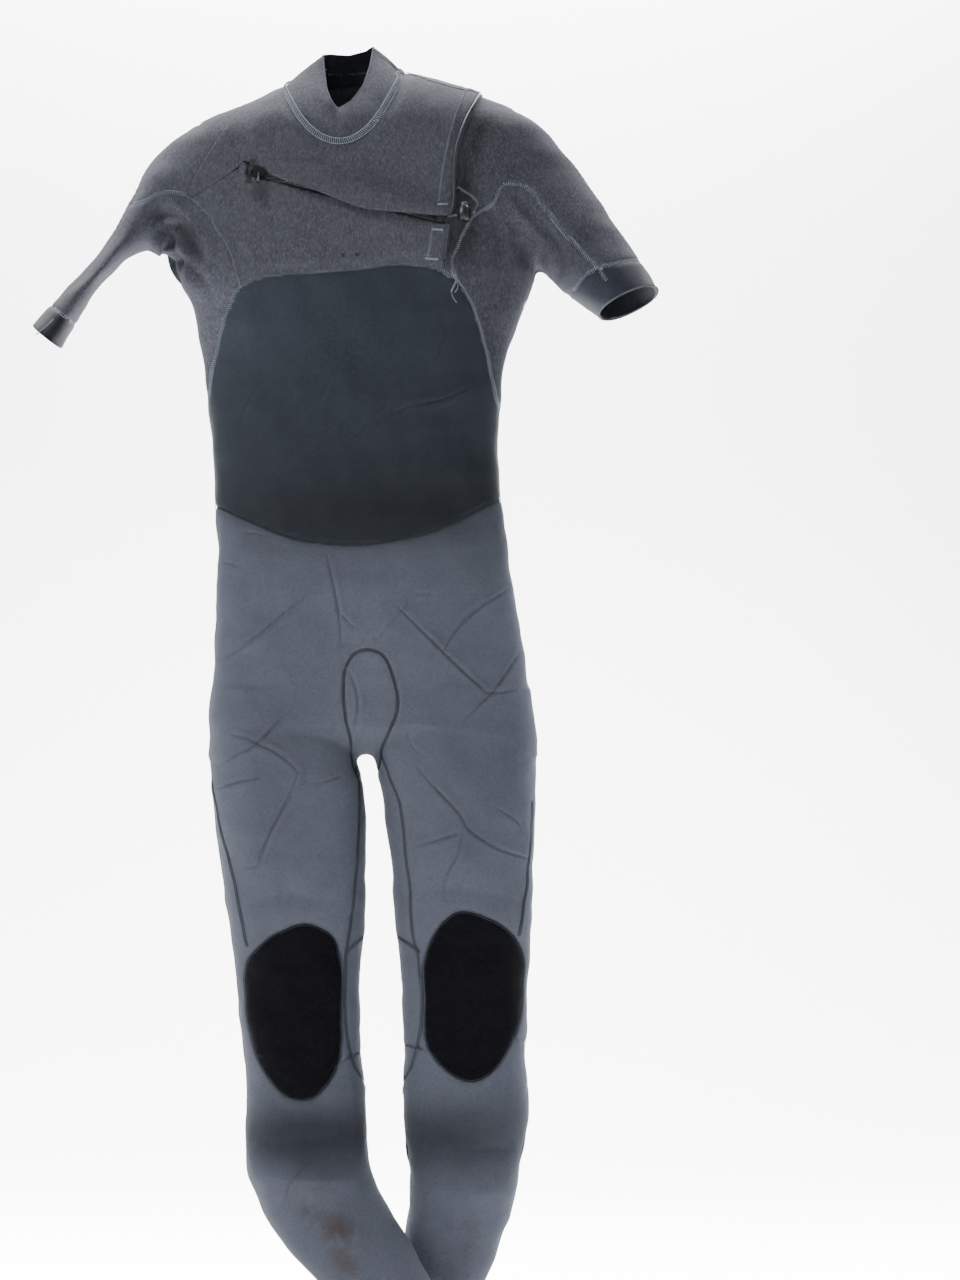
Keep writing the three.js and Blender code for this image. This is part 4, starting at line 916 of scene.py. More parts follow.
def use_for(n):
    if n in ("front_torso_panel", "back_torso_panel"):
        return "torso"
    if n == "inner_barrier":
        return "barrier"
    if "knee_panel" in n:
        return "leg" if "behind" in n else "knee"
    if "cuff" in n:
        return "cuff"
    if any(k in n for k in ("thigh", "shin", "calf", "gusset", "inner_leg")):
        return "leg"
    return "jersey"


def painted_shading_of(P, name):
    """painted light and shade over the cloth: lighter where the lamp falls from the upper left, darker in the fold
    bands over the shins, under the arms, towards the lower right of the torso and in the recess beside the flap edge
    """
    px, py = lay(P)
    t = np.zeros(len(P))
    for x, y, rx, ry, k in ((265, 315, 70, 55, 0.35), (420, 500, 120, 60, -0.22), (470, 420, 50, 110, -0.14), (350, 500, 130, 50, -0.12), (300, 1134, 90, 34, -0.72), (462, 1138, 90, 40, -0.62), (270, 800, 60, 120, -0.14), (470, 780, 60, 90, -0.12), (350, 520, 160, 34, -0.30), (310, 1205, 70, 30, 0.14), (465, 1215, 60, 30, 0.08),
                            (232, 830, 26, 120, 0.10), (365, 690, 22, 60, 0.10), (490, 330, 34, 60, -0.24), (182, 240, 26, 50, -0.20), (470, 230, 12, 40, -0.4), (180, 175, 40, 34, 0.22), (215, 300, 26, 50, 0.22), (350, 600, 60, 60, 0.05),
                            (500, 130, 40, 60, -0.15), (476, 130, 8, 34, -0.3), (465, 180, 8, 26, -0.35), (458, 245, 9, 24, -0.4), (540, 260, 34, 36, -0.16), (600, 225, 30, 30, -0.06), (320, 1020, 60, 90, -0.05)):
        t += k * np.exp(-(((px - x) / rx) ** 2 + ((py - y) / ry) ** 2))
    return np.clip(1 + t, 0.3, 1.5)


def stain_of(P):
    px, py = lay(P)
    a = np.zeros(len(P))
    for x, y, rx, ry, k in ((344, 1250, 16, 34, 0.75), (312, 1212, 14, 10, 0.6), (330, 1228, 20, 14, 0.4), (300, 1190, 24, 10, 0.25), (470, 1236, 14, 24, 0.25), (232, 1120, 14, 30, 0.15)):
        a += k * np.exp(-(((px - x) / rx) ** 2 + ((py - y) / ry) ** 2))
    return np.clip(a, 0, 1)


for name in list(PROBE) + ["right_ankle_cuff", "left_ankle_cuff"]:
    m = label == name
    if not m.any():
        print("WARN empty", name)
        continue
    v, t, n, raw = compact(V_out, T[m], N0, V)
    if name == "inner_barrier":
        v = v - n * 0.9
    nv = len(v)
    st = stain_of(raw)
    v, t = with_rim(v, t, n)
    # the right sleeve cuff gets the darker copy of the cuff cloth, painted shade
    o = tri_mesh("suit_" + name, v, t, M["cuff_shaded" if name == "right_sleeve_cuff" else use_for(name)])
    # painted light and shade, written per vertex for the jersey, leg and torso panels
    if use_for(name) in ("leg", "torso", "jersey"):
        tv = painted_shading_of(v[:nv], name)
        at_ = o.data.attributes.new("painted_shading", "FLOAT_COLOR", "POINT")
        vals = np.ones((len(o.data.vertices), 4), np.float32)
        vals[:nv, :3] = tv[:, None]
        at_.data.foreach_set("color", vals.ravel())
    if use_for(name) == "leg":
        at_ = o.data.attributes.new("stain", "FLOAT", "POINT")
        vals = np.zeros(len(o.data.vertices), np.float32)
        vals[:min(nv, len(vals))] = st[:min(nv, len(vals))]
        at_.data.foreach_set("value", vals)
    put(o, use_for(name), name)

# ---------------------------------------------------------------- zip frame
zA, zB = at(252, 172, -58.0), at(438, 219, -58.0)
ZLEN = float(np.linalg.norm(zB - zA))
zu = (zB - zA) / ZLEN
zv = np.array([-zu[2], 0, zu[0]])


def zp(u, v, y):
    p = np.array([zA[0], 0, zA[2]]) + np.multiply.outer(u, zu) + np.multiply.outer(v, zv)
    p[..., 1] = y
    return p


def uv_of(P):
    d = P - zA
    return d @ zu, d @ zv


ss = lambda t: np.clip(t, 0, 1) ** 2 * (3 - 2 * np.clip(t, 0, 1))
FLAP_EDGE = spline([(190, 199), (205, 190), (225, 177), (238, 167), (243, 161.5), (250, 163), (259.5, 168), (274, 177.4), (289, 184.7), (306, 190.5), (324.7, 197.6), (341.6, 204.5), (358.4, 210.5), (371, 213.6), (384, 215), (400.5, 216), (421.6, 217.4), (443, 217.2), (450, 215.5), (453.2, 210), (454, 197), (453.3, 176), (455.4, 151), (462, 128), (471, 108), (480, 94), (488, 82)], per=6)
LOW_EDGE = spline([(190, 199.5), (205, 190.5), (225, 177.5), (236, 170.5), (242, 168), (246, 172.5), (252, 177.8), (262, 180.4), (290, 187.5), (345, 201.4), (400, 215.3), (430, 222.6), (442, 225.2), (449.5, 224.5), (449.2, 231), (446.8, 241), (443.6, 260.5), (440, 274)], per=6)
RIDGE = spline([(205, 200), (196, 180), (202, 164), (217, 140), (241, 108), (262, 88), (275, 70)])


def hood(P, px):
    u, v = uv_of(P)
    return np.interp(px, [258, 268, 282, 300, 414, 424, 436, 452], [0, 0.8, 5.0, 9.2, 9.2, 7.5, 4.0, 1.0]) * ss(1 - v / 36.0)


def flap_lift(P):
    px, py = lay(P)
    dr = np.abs(near(px, py, RIDGE)[0])
    dc = np.abs(near(px, py, np.stack(lay(SN), -1))[0])
    de = np.abs(near(px, py, FLAP_EDGE[36:])[0])
    h = 0.7 + 3.3 * ss(dr / 26) * ss(dc / 16)
    h = h * ss((px - 236) / 22) + 0.7 * (1 - ss((px - 236) / 22))
    h += hood(P, px) * ss((px - 250) / 10)
    h += 0.9 * np.exp(-((de - 8) / 7) ** 2) * (px > 430) - 0.8 * np.exp(-((px - (465 - (py - 92) * 0.24)) / 1.8) ** 2) * ((px > 434) & (py < 208))
    return h


def low_lift(P):
    px, py = lay(P)
    dch = np.abs(near(px, py, LINES["chest"][0])[0])
    dar = np.abs(near(px, py, LINES["armR"][0])[0])
    h = 0.7 + 3.2 * ss(dch / 12) * ss(dar / 20)
    h = h * ss((px - 236) / 20) + 0.7 * (1 - ss((px - 236) / 20))
    return h + 0.5 * np.exp(-((px - 436) / 5) ** 2) * (py > 226)


def layer(name, line, keep_sign, lift, depth, node):
    m = (label == "inner_barrier") | (label == "left_shoulder_panel")
    v, t, n, hh, f = compact(V, T[m], N0, H, F)
    px, py = lay(v)
    c = v[t].mean(1)
    cx, cy = lay(c)
    keepc = (cx < 500) & (cy < 285) & (cx > 180)
    lab = label[m]
    # keeps clear of the shoulder seam
    t, lab = t[keepc], lab[keepc]
    v, t, n, hh = compact(v, t, n, hh)
    sd = np.zeros((len(t), 0), np.int8)
    px, py = lay(v)
    phi, _, _ = near(px, py, line)
    v2, t2, sd = split(v, t, sd, phi, np.ones(len(v), bool))
    t2 = t2[sd[:, -1] * keep_sign > 0]
    v3, t3 = compact(v2, t2)
    n3, _ = grad(v3)
    h3 = relief(v3, np.full(len(v3), -1.0)) * 0.6 + lift(v3)
    base = v3 + n3 * h3[:, None]
    v4, t4 = with_rim(base, t3, n3, depth=depth)
    k = len(v4)
    inner = base - n3 * depth
    v5 = np.concatenate([v4, inner])
    t5 = np.concatenate([t4, t3[:, ::-1] + k])
    o = tri_mesh(name, v5, t5, M["chest"])
    put(o, "chest", node)
    return base, n3


layer("entry_flap_shell", FLAP_EDGE, 1, flap_lift, 1.6, "entry_flap")
layer("lower_chest_shell", LOW_EDGE, -1, low_lift, 2.6, "lower_chest_panel")


# ---------------------------------------------------------------- lines laid on the surface
def march(px, py, front=True):
    px, py = np.asarray(px, float), np.asarray(py, float)
    ys = np.arange(-150, 84, 3.0) if front else np.arange(84, -150, -3.0)
    P = at(px[:, None], py[:, None], ys[None, :])
    f = field(P.reshape(-1, 3)).reshape(P.shape[:2])
    hit = (f < 0).any(1)
    k = np.argmax(f < 0, 1)
    k = np.maximum(k, 1)
    a, b = ys[k - 1].copy(), ys[k].copy()
    for _ in range(10):
        c = (a + b) / 2
        g = field(at(px, py, c))
        a, b = np.where(g < 0, a, c), np.where(g < 0, c, b)
    return at(px, py, (a + b) / 2), hit


def on_skin(px, py, front=True, lift=None, up=0.35):
    P, hit = march(px, py, front)
    n, _ = grad(P)
    f = P[:, 1] - axis_y(P)
    if lift is None:
        h = relief(P, f)
        lx, ly = lay(P)
        h = groove(lx, ly, f, h)
    else:
        h = relief(P, np.full(len(P), -1.0)) * 0.6 + lift(P)
    return P + n * (h + up)[:, None], n, hit


class Bag:
    def __init__(self):
        self.v, self.f, self.k = [], [], 0

    def add(self, v, f):
        self.v.append(v)
        self.f.append(f + self.k)
        self.k += len(v)

    def object(self, name, mat, slot, node=(), body_name="suit", smooth=True):
        V_ = np.concatenate(self.v)
        F_ = np.concatenate(self.f)
        T_ = np.concatenate([F_[:, [0, 1, 2]], F_[:, [0, 2, 3]]]) if F_.shape[1] == 4 else F_
        T_ = T_[(T_[:, 0] != T_[:, 1]) & (T_[:, 1] != T_[:, 2]) & (T_[:, 0] != T_[:, 2])]
        o = tri_mesh(name, V_, T_, mat)
        if not smooth:
            o.data.polygons.foreach_set("use_smooth", np.zeros(len(o.data.polygons), bool))
        return put(o, slot, node, body_name)


def runs(P, hit, gap=9.0):
    """splits a marched line wherever it jumps"""
    out, cur = [], []
    for i in range(len(P)):
        if not hit[i] or (cur and np.linalg.norm(P[i] - P[cur[-1]]) > gap):
            if len(cur) > 3:
                out.append(cur)
            cur = []
        if hit[i]:
            cur.append(i)
    if len(cur) > 3:
        out.append(cur)
    return out


def tube(P, r, sides=6, closed=False, flat=1.0, nrm=None, taper=False):
    P = np.asarray(P, float)
    t = np.gradient(P, axis=0)
    if closed:
        t = np.roll(P, -1, 0) - np.roll(P, 1, 0)
    t /= np.maximum(np.linalg.norm(t, axis=1, keepdims=True), 1e-9)
    if nrm is None:
        n = np.zeros_like(P)
        c = np.array([0, 1.0, 0]) if abs(t[0, 1]) < 0.9 else np.array([1.0, 0, 0])
        for i in range(len(P)):
            c = c - t[i] * (c @ t[i])
            c /= np.linalg.norm(c)
            n[i] = c
    else:
        n = nrm - t * (nrm * t).sum(1, keepdims=True)
        n /= np.maximum(np.linalg.norm(n, axis=1, keepdims=True), 1e-9)
    b = np.cross(t, n)
    a = np.linspace(0, 2 * np.pi, sides, endpoint=False)
    rr = np.broadcast_to(np.asarray(r, float), (len(P),)).copy()
    if taper:
        rr[0] *= 0.35
        rr[-1] *= 0.35
    v = P[:, None] + rr[:, None, None] * (n[:, None] * (np.cos(a) * flat)[None, :, None] + b[:, None] * np.sin(a)[None, :, None])
    m = len(P)
    i, k = np.meshgrid(np.arange(m if closed else m - 1), np.arange(sides), indexing="ij")
    f = np.stack([i * sides + k, i * sides + (k + 1) % sides, ((i + 1) % m) * sides + (k + 1) % sides, ((i + 1) % m) * sides + k], -1).reshape(-1, 4)
    v = v.reshape(-1, 3)
    if not closed:
        v = np.concatenate([v, P[:1], P[-1:]])
        k = np.arange(sides)
        f = np.concatenate([f, np.stack([np.full(sides, m * sides), (k + 1) % sides, k, k], 1), np.stack([np.full(sides, m * sides + 1), (m - 1) * sides + k, (m - 1) * sides + (k + 1) % sides, (m - 1) * sides + (k + 1) % sides], 1)])
    return v, f


def resample(P, N_, step):
    s = np.concatenate([[0], np.cumsum(np.linalg.norm(np.diff(P, axis=0), axis=1))])
    q = np.arange(step / 2, s[-1], step)
    f = lambda A: np.stack([np.interp(q, s, A[:, i]) for i in range(3)], 1)
    P2, N2 = f(P), f(N_)
    return P2, N2 / np.maximum(np.linalg.norm(N2, axis=1, keepdims=True), 1e-9)


def ladder(bag, P, N_, width=5.2, pitch=2.3, r=0.42, slant=0.5, rails=True, offset=0.0):
    P, N_ = resample(P, N_, pitch)
    if len(P) < 4:
        return
    t = np.gradient(P, axis=0)
    t /= np.maximum(np.linalg.norm(t, axis=1, keepdims=True), 1e-9)
    c = np.cross(t, N_)
    P = P + c * offset
    j = rng.normal(0, 0.12, (len(P), 2))
    a = P - c * (width / 2 + j[:, :1]) - t * slant * pitch * 0.5
    b = P + c * (width / 2 + j[:, 1:]) + t * slant * pitch * 0.5
    d = (b - a) / np.linalg.norm(b - a, axis=1, keepdims=True)
    s = np.cross(d, N_)
    mid = (a + b) / 2 + N_ * 0.45
    ring = lambda q, k: np.stack([q - s * r * k, q - s * 0.55 * r * k + N_ * r * k, q + s * 0.55 * r * k + N_ * r * k, q + s * r * k], 1)
    v = np.concatenate([ring(a - N_ * 0.3, 0.7), ring(mid, 1), ring(b - N_ * 0.3, 0.7)], 1).reshape(-1, 3)
    base = np.arange(len(P))[:, None, None] * 12
    q = np.array([[g * 4 + i, g * 4 + i + 1, (g + 1) * 4 + i + 1, (g + 1) * 4 + i] for g in (0, 1) for i in (0, 1, 2)])
    bag.add(v, (base + q[None]).reshape(-1, 4))
    if rails:
        for k in (-1, 1):
            w = P + c * k * width / 2 + N_ * 0.05
            vv, ff = tube(w, r * 0.85, 4, nrm=N_)
            bag.add(vv, ff)


pale, dark, black = Bag(), Bag(), Bag()
STYLE = {
    "chest": (pale, 5.6, 2.3), "armR": (pale, 5.0, 2.3), "armL": (pale, 5.0, 2.3), "cuffR": (pale, 4.0, 2.4), "cuffL": (pale, 4.2, 2.4), "waist": (dark, 5.4, 2.3),
    "yoke": (pale, 5.0, 2.3), "sleeveBackR": (pale, 4.6, 2.4), "sleeveBackL": (pale, 4.6, 2.4), "seat": (dark, 4.6, 2.6), "gusset": (black, 3.2, 2.2), "innerL": (dark, 3.6, 2.4), "innerR": (dark, 3.6, 2.4),
    "kneeR": (dark, 3.8, 2.3), "kneeL": (dark, 3.8, 2.3), "shinR": None, "shinR2": None, "shinL": None, "shinL2": None,
    "backKneeTop": (dark, 4.0, 2.4), "backKneeLow": (dark, 4.0, 2.4), "ridgeR": None, "barrier": None,
}


def dense(line, closed, step=1.0):
    L_ = np.concatenate([line, line[:1]]) if closed else line
    s = np.concatenate([[0], np.cumsum(np.hypot(*np.diff(L_, axis=0).T))])
    q = np.arange(0, s[-1], step)
    if closed:
        q = np.append(q, s[-1])
    return np.interp(q, s, L_[:, 0]), np.interp(q, s, L_[:, 1])


for n_, (line, where, closed) in LINES.items():
    if STYLE[n_] is None:
        continue
    bag, w, pitch = STYLE[n_]
    qx, qy = dense(line, closed)
    for front in ((True,) if where == FRONT else (False,) if where == BACK else (True, False)):
        P, n, hit = on_skin(qx, qy, front)
        F_ = P[:, 1] - axis_y(P)
        hit = hit & (np.abs(n[:, 1]) > 0.12)
        for r_ in runs(P, hit):
            ladder(bag, P[r_], n[r_], w, pitch)
            if bag is not pale:
                ladder(black, P[r_], n[r_], 1.2, pitch, r=0.3, rails=False)

# seams down the sides
for tab, lo_, hi_, edges in ((TORSO, 275, 756, (1, 2)), (LEG_R, 757, 1308, (1,)), (LEG_L, 757, 1308, (2,))):
    tb = np.array(tab, float)
    tube_ = {id(TORSO): torso, id(LEG_R): legr, id(LEG_L): legl}[id(tab)]
    z0_, z1_ = at(0, hi_, 0)[2], at(0, lo_, 0)[2]
    zz = np.arange(z0_, z1_, 1.5)
    c, a, b, yc, n = tube_.ring(zz)
    for e in edges:
        P = lifted(c + (a if e == 2 else -a), yc, zz)
        Q = settle(P.copy(), 2)
        hit = np.linalg.norm(P - Q, axis=1) < 10
        n, _ = grad(Q)
        f = np.full(len(Q), -0.5)
        h = relief(Q, f)
        P = Q + n * (h + 0.3)[:, None]
        bag = pale if tab is TORSO and False else dark
        for r_ in runs(P, hit, 7):
            ladder(bag, P[r_], n[r_], 3.8, 2.4)

# short seams beside the knees
for pts in ([(226, 1090), (236, 1075), (246, 1064)], [(544, 1066), (535, 1054), (525, 1043)], [(347, 1059), (356, 1055), (366, 1051)], [(422, 1049), (412, 1047), (400, 1045)],
            [(346.5, 953), (354, 945), (363, 937)], [(398, 937), (409, 944), (420.5, 952)], [(212.5, 780), (218, 815), (225, 848), (237.5, 898), (248, 948)], [(531.5, 800), (530.5, 823), (526, 888), (518.5, 936)]):
    x_, y_ = dense(spline(pts), False)
    P, n, hit = on_skin(x_, y_)
    for r_ in runs(P, hit & (np.abs(n[:, 1]) > 0.1)):
        ladder(dark, P[r_], n[r_], 3.6, 2.4)
        ladder(black, P[r_], n[r_], 1.2, 2.4, r=0.3, rails=False)

# shoulder seam and collar seam
sx, sy = dense(spline([(404, 71), (420, 78), (442.5, 85.5), (462, 91), (480, 94.5)]), False)
P, n, hit = on_skin(sx, sy + 2.5, lift=flap_lift, up=0.5)
for r_ in runs(P, hit):
    ladder(pale, P[r_], n[r_], 5.0, 2.3)
n_sn, _ = grad(SN)
rad = np.stack([np.cos(tt), np.sin(tt), 0 * tt], 1)
n_mix = n_sn + 0.9 * rad
n_mix /= np.linalg.norm(n_mix, axis=1, keepdims=True)
ladder(pale, SN + n_mix * 2.7, n_mix, 6.2, 2.3, r=0.48)

# stitching on the flap and the lower chest panel
for pts, w in (([(466, 93), (453.5, 123.7), (446, 155), (441.5, 180.5), (438.3, 204)], 2.6),):
    x_, y_ = dense(spline(pts), False)
    P, n, hit = on_skin(x_, y_, lift=flap_lift, up=0.2)
    ladder(pale, P, n, w, 3.2, r=0.34, slant=0.95, rails=False)
x_, y_ = dense(spline([(432, 232), (430.5, 245), (427.8, 258)]), False)
P, n, hit = on_skin(x_, y_, lift=low_lift, up=0.2)
ladder(pale, P, n, 2.6, 3.2, r=0.34, slant=0.95, rails=False)
for (a_, b_), lift_ in ((((437.3, 206.8), (447.8, 206.0)), flap_lift), (((431.5, 230.5), (442.8, 231.2)), low_lift), (((425.2, 258.6), (438.0, 260.2)), low_lift)):
    x_, y_ = np.linspace(a_[0], b_[0], 14), np.linspace(a_[1], b_[1], 14)
    P, n, hit = on_skin(x_, y_, lift=lift_, up=0.3)
    ladder(pale, P, n, 2.6, 0.85, r=0.42, slant=0.2, rails=False)
# turned cuff seam on the right sleeve
x_, y_ = dense(np.array([(35, 335.0), (44, 327.0), (52, 318.0)]), False)
P, n, hit = on_skin(x_, y_)
for r_ in runs(P, hit):
    ladder(pale, P[r_], n[r_], 2.4, 2.4)
# loose thread ends at the chest seam
for pts in ([(456, 279), (455, 285), (452, 291), (453, 297), (457.5, 303)], [(456, 280), (453, 286), (450.5, 292)], [(456, 280), (458, 287), (454, 293)]):
    x_, y_ = dense(spline(pts), False)
    P, n, hit = on_skin(x_, y_, up=0.9)
    v, f = tube(P, 0.42, 5, taper=True)
    pale.add(v, f)
pale.object("seam_stitching_pale", M["thread"], "jersey")
dark.object("seam_stitching_dark", M["thread_dark"], "leg")
black.object("seam_stitching_black", M["thread_black"], "knee")

# ---------------------------------------------------------------- collar
RIM = [(-180, 322.5, 56, 0), (-160, 324.0, 73, -15), (-140, 326.5, 89, -31), (-118, 331, 100, -41), (-96, 338, 110, -46), (-74, 351, 102, -42), (-52, 363, 86, -33), (-30, 370, 67, -20), (0, 374, 47, 0), (40, 366, 52.5, 22), (90, 349, 57, 34), (140, 329, 55.5, 20), (180, 322.5, 56, 0)]
RIM = np.array(RIM, float)
nt_ = 200
th = np.linspace(-np.pi, np.pi, nt_, endpoint=False)
per = lambda v: np.real(np.fft.ifft(np.fft.fft(v) * np.exp(-0.5 * (np.fft.fftfreq(nt_) * nt_ / 16.0) ** 2)))
rimP = at(*(per(np.interp(np.degrees(th), RIM[:, 0], RIM[:, i])) for i in (1, 2, 3)))
baseP = np.stack([np.interp(th, tt, SN[:, i]) for i in range(3)], 1)
outd = np.stack([np.cos(th), np.sin(th), 0 * th], 1)
ns_ = 26


def collar_relief(P, s):
    px, py = lay(P)
    cr = spline([(336.5, 108), (338, 116), (340.5, 124), (344, 133)])
    d, al, en = near(px, py, cr)
    m = (P[:, 1] < 5) & (py > 92)
    fade = ss((py - 100) / 10) * ss((140 - py) / 14)
    h = np.where(m, 2.4 * np.tanh(-d * -1 / 1.6) * np.exp(-(d / 10) ** 2) * fade, 0)
    h += 0.5 * np.sin(P[:, 2] * 0.12 + P[:, 0] * 0.09) + 0.35 * np.sin(P[:, 0] * 0.21 + P[:, 1] * 0.17 + 1.2)
    return h


def collar_at(s):
    P = baseP * (1 - s) + rimP * s + outd * (2.2 * np.sin(np.pi * s))
    P = P + np.array([0, 0, 0.6]) * (1 - s)
    return P + outd * (collar_relief(P, s) * np.sin(np.pi * np.clip(s, 0, 1) * 0.92 + 0.1))[:, None]


rings = []
for s in np.linspace(0, 1, ns_):
    rings.append(collar_at(s) + outd * 1.5 - (np.array([0, 0, 1.6]) if s == 0 else 0))
top = collar_at(1.0)
for g in (30, 60, 90, 120, 150):
    rings.append(top + outd * 1.5 * math.cos(math.radians(g)) + np.array([0, 0, 1.5 * math.sin(math.radians(g))]))
for s in np.linspace(1, 0, ns_):
    rings.append(collar_at(s) - outd * 1.5)
for dr_, dz_ in ((2.0, 1.0), (6.0, 4.0), (11.0, 8.0), (17.0, 13.0)):
    q = baseP + outd * dr_
    q[:, 2] -= dz_
    q = settle(q, 4)
    rings.append(q - grad(q)[0] * 2.0)
R_ = np.stack(rings)
bag = Bag()
m_ = len(R_)
i_, k_ = np.meshgrid(np.arange(m_ - 1), np.arange(nt_), indexing="ij")
f_ = np.stack([i_ * nt_ + k_, i_ * nt_ + (k_ + 1) % nt_, (i_ + 1) * nt_ + (k_ + 1) % nt_, (i_ + 1) * nt_ + k_], -1).reshape(-1, 4)
out_n = (ns_ + 3) * nt_
bag.add(R_.reshape(-1, 3), f_)
o = bag.object("collar_band", M["jersey"], "jersey", "collar")
# the collar takes a neutral painted shading of one, so it gets no painted light or shade
at_ = o.data.attributes.new("painted_shading", "FLOAT_COLOR", "POINT")
at_.data.foreach_set("color", np.ones(len(o.data.vertices) * 4, np.float32))
# the lining inside the collar
o.data.materials.append(M["lining"])
mi = np.zeros(len(o.data.polygons), np.int32)
cz = np.zeros(len(o.data.polygons) * 3)
vi = np.zeros(len(o.data.polygons) * 3, np.int32)
o.data.polygons.foreach_get("vertices", vi)
mi[(vi.reshape(-1, 3).min(1) >= out_n)] = 1
o.data.polygons.foreach_set("material_index", mi)

# ---------------------------------------------------------------- turned edges and linings in the mouths
A_ = np.linspace(0, 2 * np.pi, 120, endpoint=False)
sp = lambda c, e: np.sign(c) * np.abs(c) ** e


def mouth(name, rr, slot="cuff"):
    """lining through rings given from the edge inwards"""
    R = np.stack(rr)
    bag = Bag()
    i, k = np.meshgrid(np.arange(len(R) - 1), np.arange(len(A_)), indexing="ij")
    m = len(A_)
    bag.add(R.reshape(-1, 3), np.stack([i * m + k, (i + 1) * m + k, (i + 1) * m + (k + 1) % m, i * m + (k + 1) % m], -1).reshape(-1, 4))
    return bag.object(name, M["lining"], slot)


def arm_rings(arm, e, inward):
    out = []
    idx = np.arange(arm.m)
    for depth, inset in ((0, -0.2), (-0.9, 0.6), (-0.9, 2.2), (0, 3.0), (6, 3.3), (14, 3.8), (26, 4.4), (42, 5.0), (60, 5.6)):
        lo_, hi_ = np.full(len(A_), arm.m * 0.25), np.full(len(A_), arm.m + 8.0)
        for _ in range(26):
            s = (lo_ + hi_) / 2
            sc = np.minimum(s, arm.m - 1)
            f = lambda v: np.interp(sc, idx, v)
            ex = (s - sc)
            cx_, cz_ = f(arm.C[:, 0]) + ex * (arm.C[-1, 0] - arm.C[-2, 0]), f(arm.C[:, 1]) + ex * (arm.C[-1, 1] - arm.C[-2, 1])
            w_, b_, n_, yc_ = f(arm.w) - inset, f(arm.b) - inset, f(arm.n), f(arm.yc)
            u = w_ * sp(np.cos(A_), 2 / n_)
            P = lifted(cx_ + f(arm.D[:, 0]) * u, yc_ + b_ * sp(np.sin(A_), 2 / n_), cz_ + f(arm.D[:, 1]) * u)
            g = beyond(P, e, inward) > -depth
            lo_, hi_ = np.where(g, lo_, s), np.where(g, s, hi_)
        out.append(P)
    return out


mouth("right_sleeve_lining", arm_rings(armr, endR, np.array([-300, -200.0])))
mouth("left_sleeve_lining", arm_rings(arml, endL, np.array([250, -150.0])))
for nm, tb, row, yc0 in (("right_ankle_lining", legr, 1356, -91), ("left_ankle_lining", legl, 1356, 25)):
    z0 = at(0, row, yc0)[2]
    sec = []
    for depth, inset in ((0, -0.2), (-0.9, 0.7), (-0.9, 2.2), (0, 3.0), (10, 3.4), (25, 4.4), (45, 5.2), (70, 6.0)):
        y = np.full(len(A_), float(yc0))
        for _ in range(8):
            zpl = OFFZ + (z0 + depth - OFFZ) * SIGHT / (SIGHT + y)
            c, a, b, yc, n = tb.ring(zpl)
            y = yc + (b - inset) * sp(np.sin(A_), 2 / n)
        x = c + (a - inset) * sp(np.cos(A_), 2 / n)
        P = lifted(x, y, zpl)
        sec.append(P)
    mouth(nm, sec)

# ---------------------------------------------------------------- bindings
def on_line(pts):
    a = spline([p[:2] for p in pts], per=10)
    s = np.linspace(0, 1, len(a))
    y = np.interp(s, np.linspace(0, 1, len(pts)), [p[2] for p in pts])
    return at(a[:, 0], a[:, 1], y)


bag = Bag()
P = on_line([(481, 95, -46), (474, 106, -56.5), (464, 126, -62.0), (456.4, 150, -63.2), (454.2, 172, -63.4), (454.4, 192, -63.4), (453.6, 205, -63.3), (450.5, 214.5, -63.0)])
rr = 2.35 + 0.12 * np.sin(np.arange(len(P)) * 0.5)
v, f = tube(P, rr, 14, taper=True)
bag.add(v, f)
bag.object("flap_edge_roll", M["binding"], "binding", "flap_edge_binding")
bag = Bag()
P = on_line([(449.4, 227, -61.2), (447.6, 240, -61.4), (444.6, 259, -61.2)])
v, f = tube(P, 1.7, 12, taper=True)
bag.add(v, f)
bag.object("lower_edge_roll", M["binding"], "binding", "lower_edge_binding")

# ---------------------------------------------------------------- zip
def block(bag, u0, u1, v0, v1, y0, y1, ch=0.18):
    """chamfered block in the zip's frame"""
    uu = [(u0, u1), (u0 + ch, u1 - ch)]
    q = []
    for (a, b), (c, d), y in (((u0, u1), (v0, v1), y1), ((u0, u1), (v0, v1), y0 + ch), ((u0 + ch, u1 - ch), (v0 + ch, v1 - ch), y0)):
        q += [(a, c, y), (b, c, y), (b, d, y), (a, d, y)]
    q = np.array(q)
    v = zp(q[:, 0], q[:, 1], 0)
    v[:, 1] = q[:, 2]
    f = []
    for g in (0, 1):
        for i in range(4):
            j = (i + 1) % 4
            f.append([g * 4 + i, g * 4 + j, (g + 1) * 4 + j, (g + 1) * 4 + i])
    f += [[8, 9, 10, 11], [3, 2, 1, 0]]
    bag.add(v, np.array(f))


